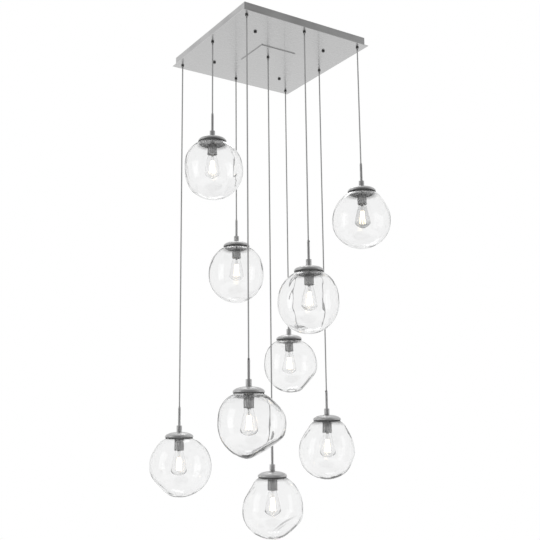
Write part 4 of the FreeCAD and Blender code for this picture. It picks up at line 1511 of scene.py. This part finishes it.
WHITE = (1, 1, 1, 1)
ROOM_LIGHT = 0.70          # what lights matt surfaces
MIRROR_MIDDLE = 0.40       # grey that is mirrored from the sides
MIRROR_BEHIND = 0.50       # more from behind the object, less from the viewer's side
MIRROR_UPRIGHT = 0.25      # more from straight above and below
MIRROR_DARKEST = 0.20
MIRROR_BRIGHTEST = 0.74
FLOOR_AT_HORIZON = 1.255   # the floor's grey, which falls as one looks down
FLOOR_FALL = 1.4
FLOOR_DARKEST = 0.45


def mirrored_shade(tree):
    """The grey that metal and glass mirror from each direction."""
    direction = Flow(tree, tree.nodes.new("ShaderNodeTexCoord").outputs["Generated"])
    behind = vectors(tree, "DOT_PRODUCT", direction, NEAR * -1.0, number=True)
    climb = separate(tree, direction)[2]
    upright = maths(tree, "ABSOLUTE", climb)
    walls = behind * MIRROR_BEHIND + upright * MIRROR_UPRIGHT + MIRROR_MIDDLE
    walls = maths(tree, "MAXIMUM", walls, MIRROR_DARKEST)
    ground = maths(tree, "MAXIMUM", climb * FLOOR_FALL + FLOOR_AT_HORIZON, FLOOR_DARKEST)
    return maths(tree, "MINIMUM", walls, maths(tree, "MINIMUM", ground, MIRROR_BRIGHTEST))


def make_world():
    """White to look at, shaded to mirror, and an even light for the rest."""
    world = bpy.data.worlds.new("studio")
    bpy.context.scene.world = world
    world.use_nodes = True
    tree = world.node_tree
    tree.nodes.clear()
    room = add_node(tree, "ShaderNodeBackground", Color=WHITE, Strength=ROOM_LIGHT)
    mirrored = add_node(tree, "ShaderNodeBackground", Color=mirrored_shade(tree), Strength=1.0)
    plain = add_node(tree, "ShaderNodeBackground", Color=WHITE, Strength=1.0)
    lit = mix_shaders(tree, seen_by(tree, "Glossy"), room, mirrored)
    shown = mix_shaders(tree, seen_by(tree, "Camera", "Transmission"), lit, plain)
    output = tree.nodes.new("ShaderNodeOutputWorld")
    tree.links.new(shown.outputs[0], output.inputs["Surface"])


make_world()
print("world:", bpy.context.scene.world.name)

# %% [markdown]
# A plain round floor lies well below the lowest globe, as it does under a real pendant.  Seen
# straight it is half white already in its middle, where the shadow falls, and all white at its
# edge, so it ends without a line.

# %% Floor

FLOOR_LEVEL = cad_box[0][2] - 1.15
FLOOR_RADIUS = 3.2
FADE_FROM = 0.8
FADE_OVER = 2.0
WHITE_IN_MIDDLE = 0.5


def make_floor():
    """Pale round floor that fades to the white background and keeps the shadow in its middle."""
    work = bmesh.new()
    bmesh.ops.create_circle(work, cap_ends=True, radius=FLOOR_RADIUS, segments=96)
    bmesh.ops.translate(work, verts=work.verts, vec=(0, 0, FLOOR_LEVEL))
    mesh = bpy.data.meshes.new("floor")
    work.to_mesh(mesh)
    work.free()
    floor = bpy.data.objects.new("floor", mesh)
    bpy.context.scene.collection.objects.link(floor)
    material, tree, shader = new_material("pale_floor")
    place = object_place(tree)
    flat = vectors(tree, "MULTIPLY", place, (1.0, 1.0, 0.0))
    away = vectors(tree, "LENGTH", flat, number=True)
    fade = smooth_step(tree, (away - FADE_FROM) / FADE_OVER)
    fade = fade * (1 - WHITE_IN_MIDDLE) + WHITE_IN_MIDDLE
    grain = noise(tree, place, (40, 40, 40))
    feed(tree, shader.inputs["Base Color"], between(tree, grain, grey(0.90), grey(0.93)))
    shader.inputs["Roughness"].default_value = 0.9
    glow = add_node(tree, "ShaderNodeEmission", Strength=1.0)
    to_eye = seen_by(tree, "Camera", "Glossy", "Transmission")
    shown = mix_shaders(tree, to_eye * fade, shader, glow)
    tree.links.new(shown.outputs[0], tree.nodes["Material Output"].inputs["Surface"])
    mesh.materials.append(material)


make_floor()
print("floor at", round(FLOOR_LEVEL, 3), "m")

# %% [markdown]
# The light is a soft box on each side, a little towards the viewer, and one behind and above.
# They are large, so their shadows are soft, and weak, because the white room gives most light.

# %% Soft boxes

BOXES_FACE = (0, 0, -0.9)


def soft_box(name, place, width, height, watts):
    """Rectangular lamp that faces the middle of the object."""
    light = bpy.data.lights.new(name, "AREA")
    light.shape = "RECTANGLE"
    light.size = width
    light.size_y = height
    light.energy = watts
    lamp = bpy.data.objects.new(name, light)
    bpy.context.scene.collection.objects.link(lamp)
    aim = (Vector(BOXES_FACE) - Vector(place)).to_track_quat("-Z", "Y")
    lamp.matrix_world = Matrix.Translation(place) @ aim.to_matrix().to_4x4()


soft_box("left_box", (-2.9, 0.6, -0.7), width=1.4, height=2.4, watts=9)
soft_box("right_box", (2.2, -2.2, -0.9), width=1.1, height=2.2, watts=5)
soft_box("back_box", (1.2, 2.2, 2.0), width=1.6, height=1.2, watts=12)
bpy.context.scene.view_settings.view_transform = "Standard"
print("lights:", [light.name for light in bpy.data.lights])
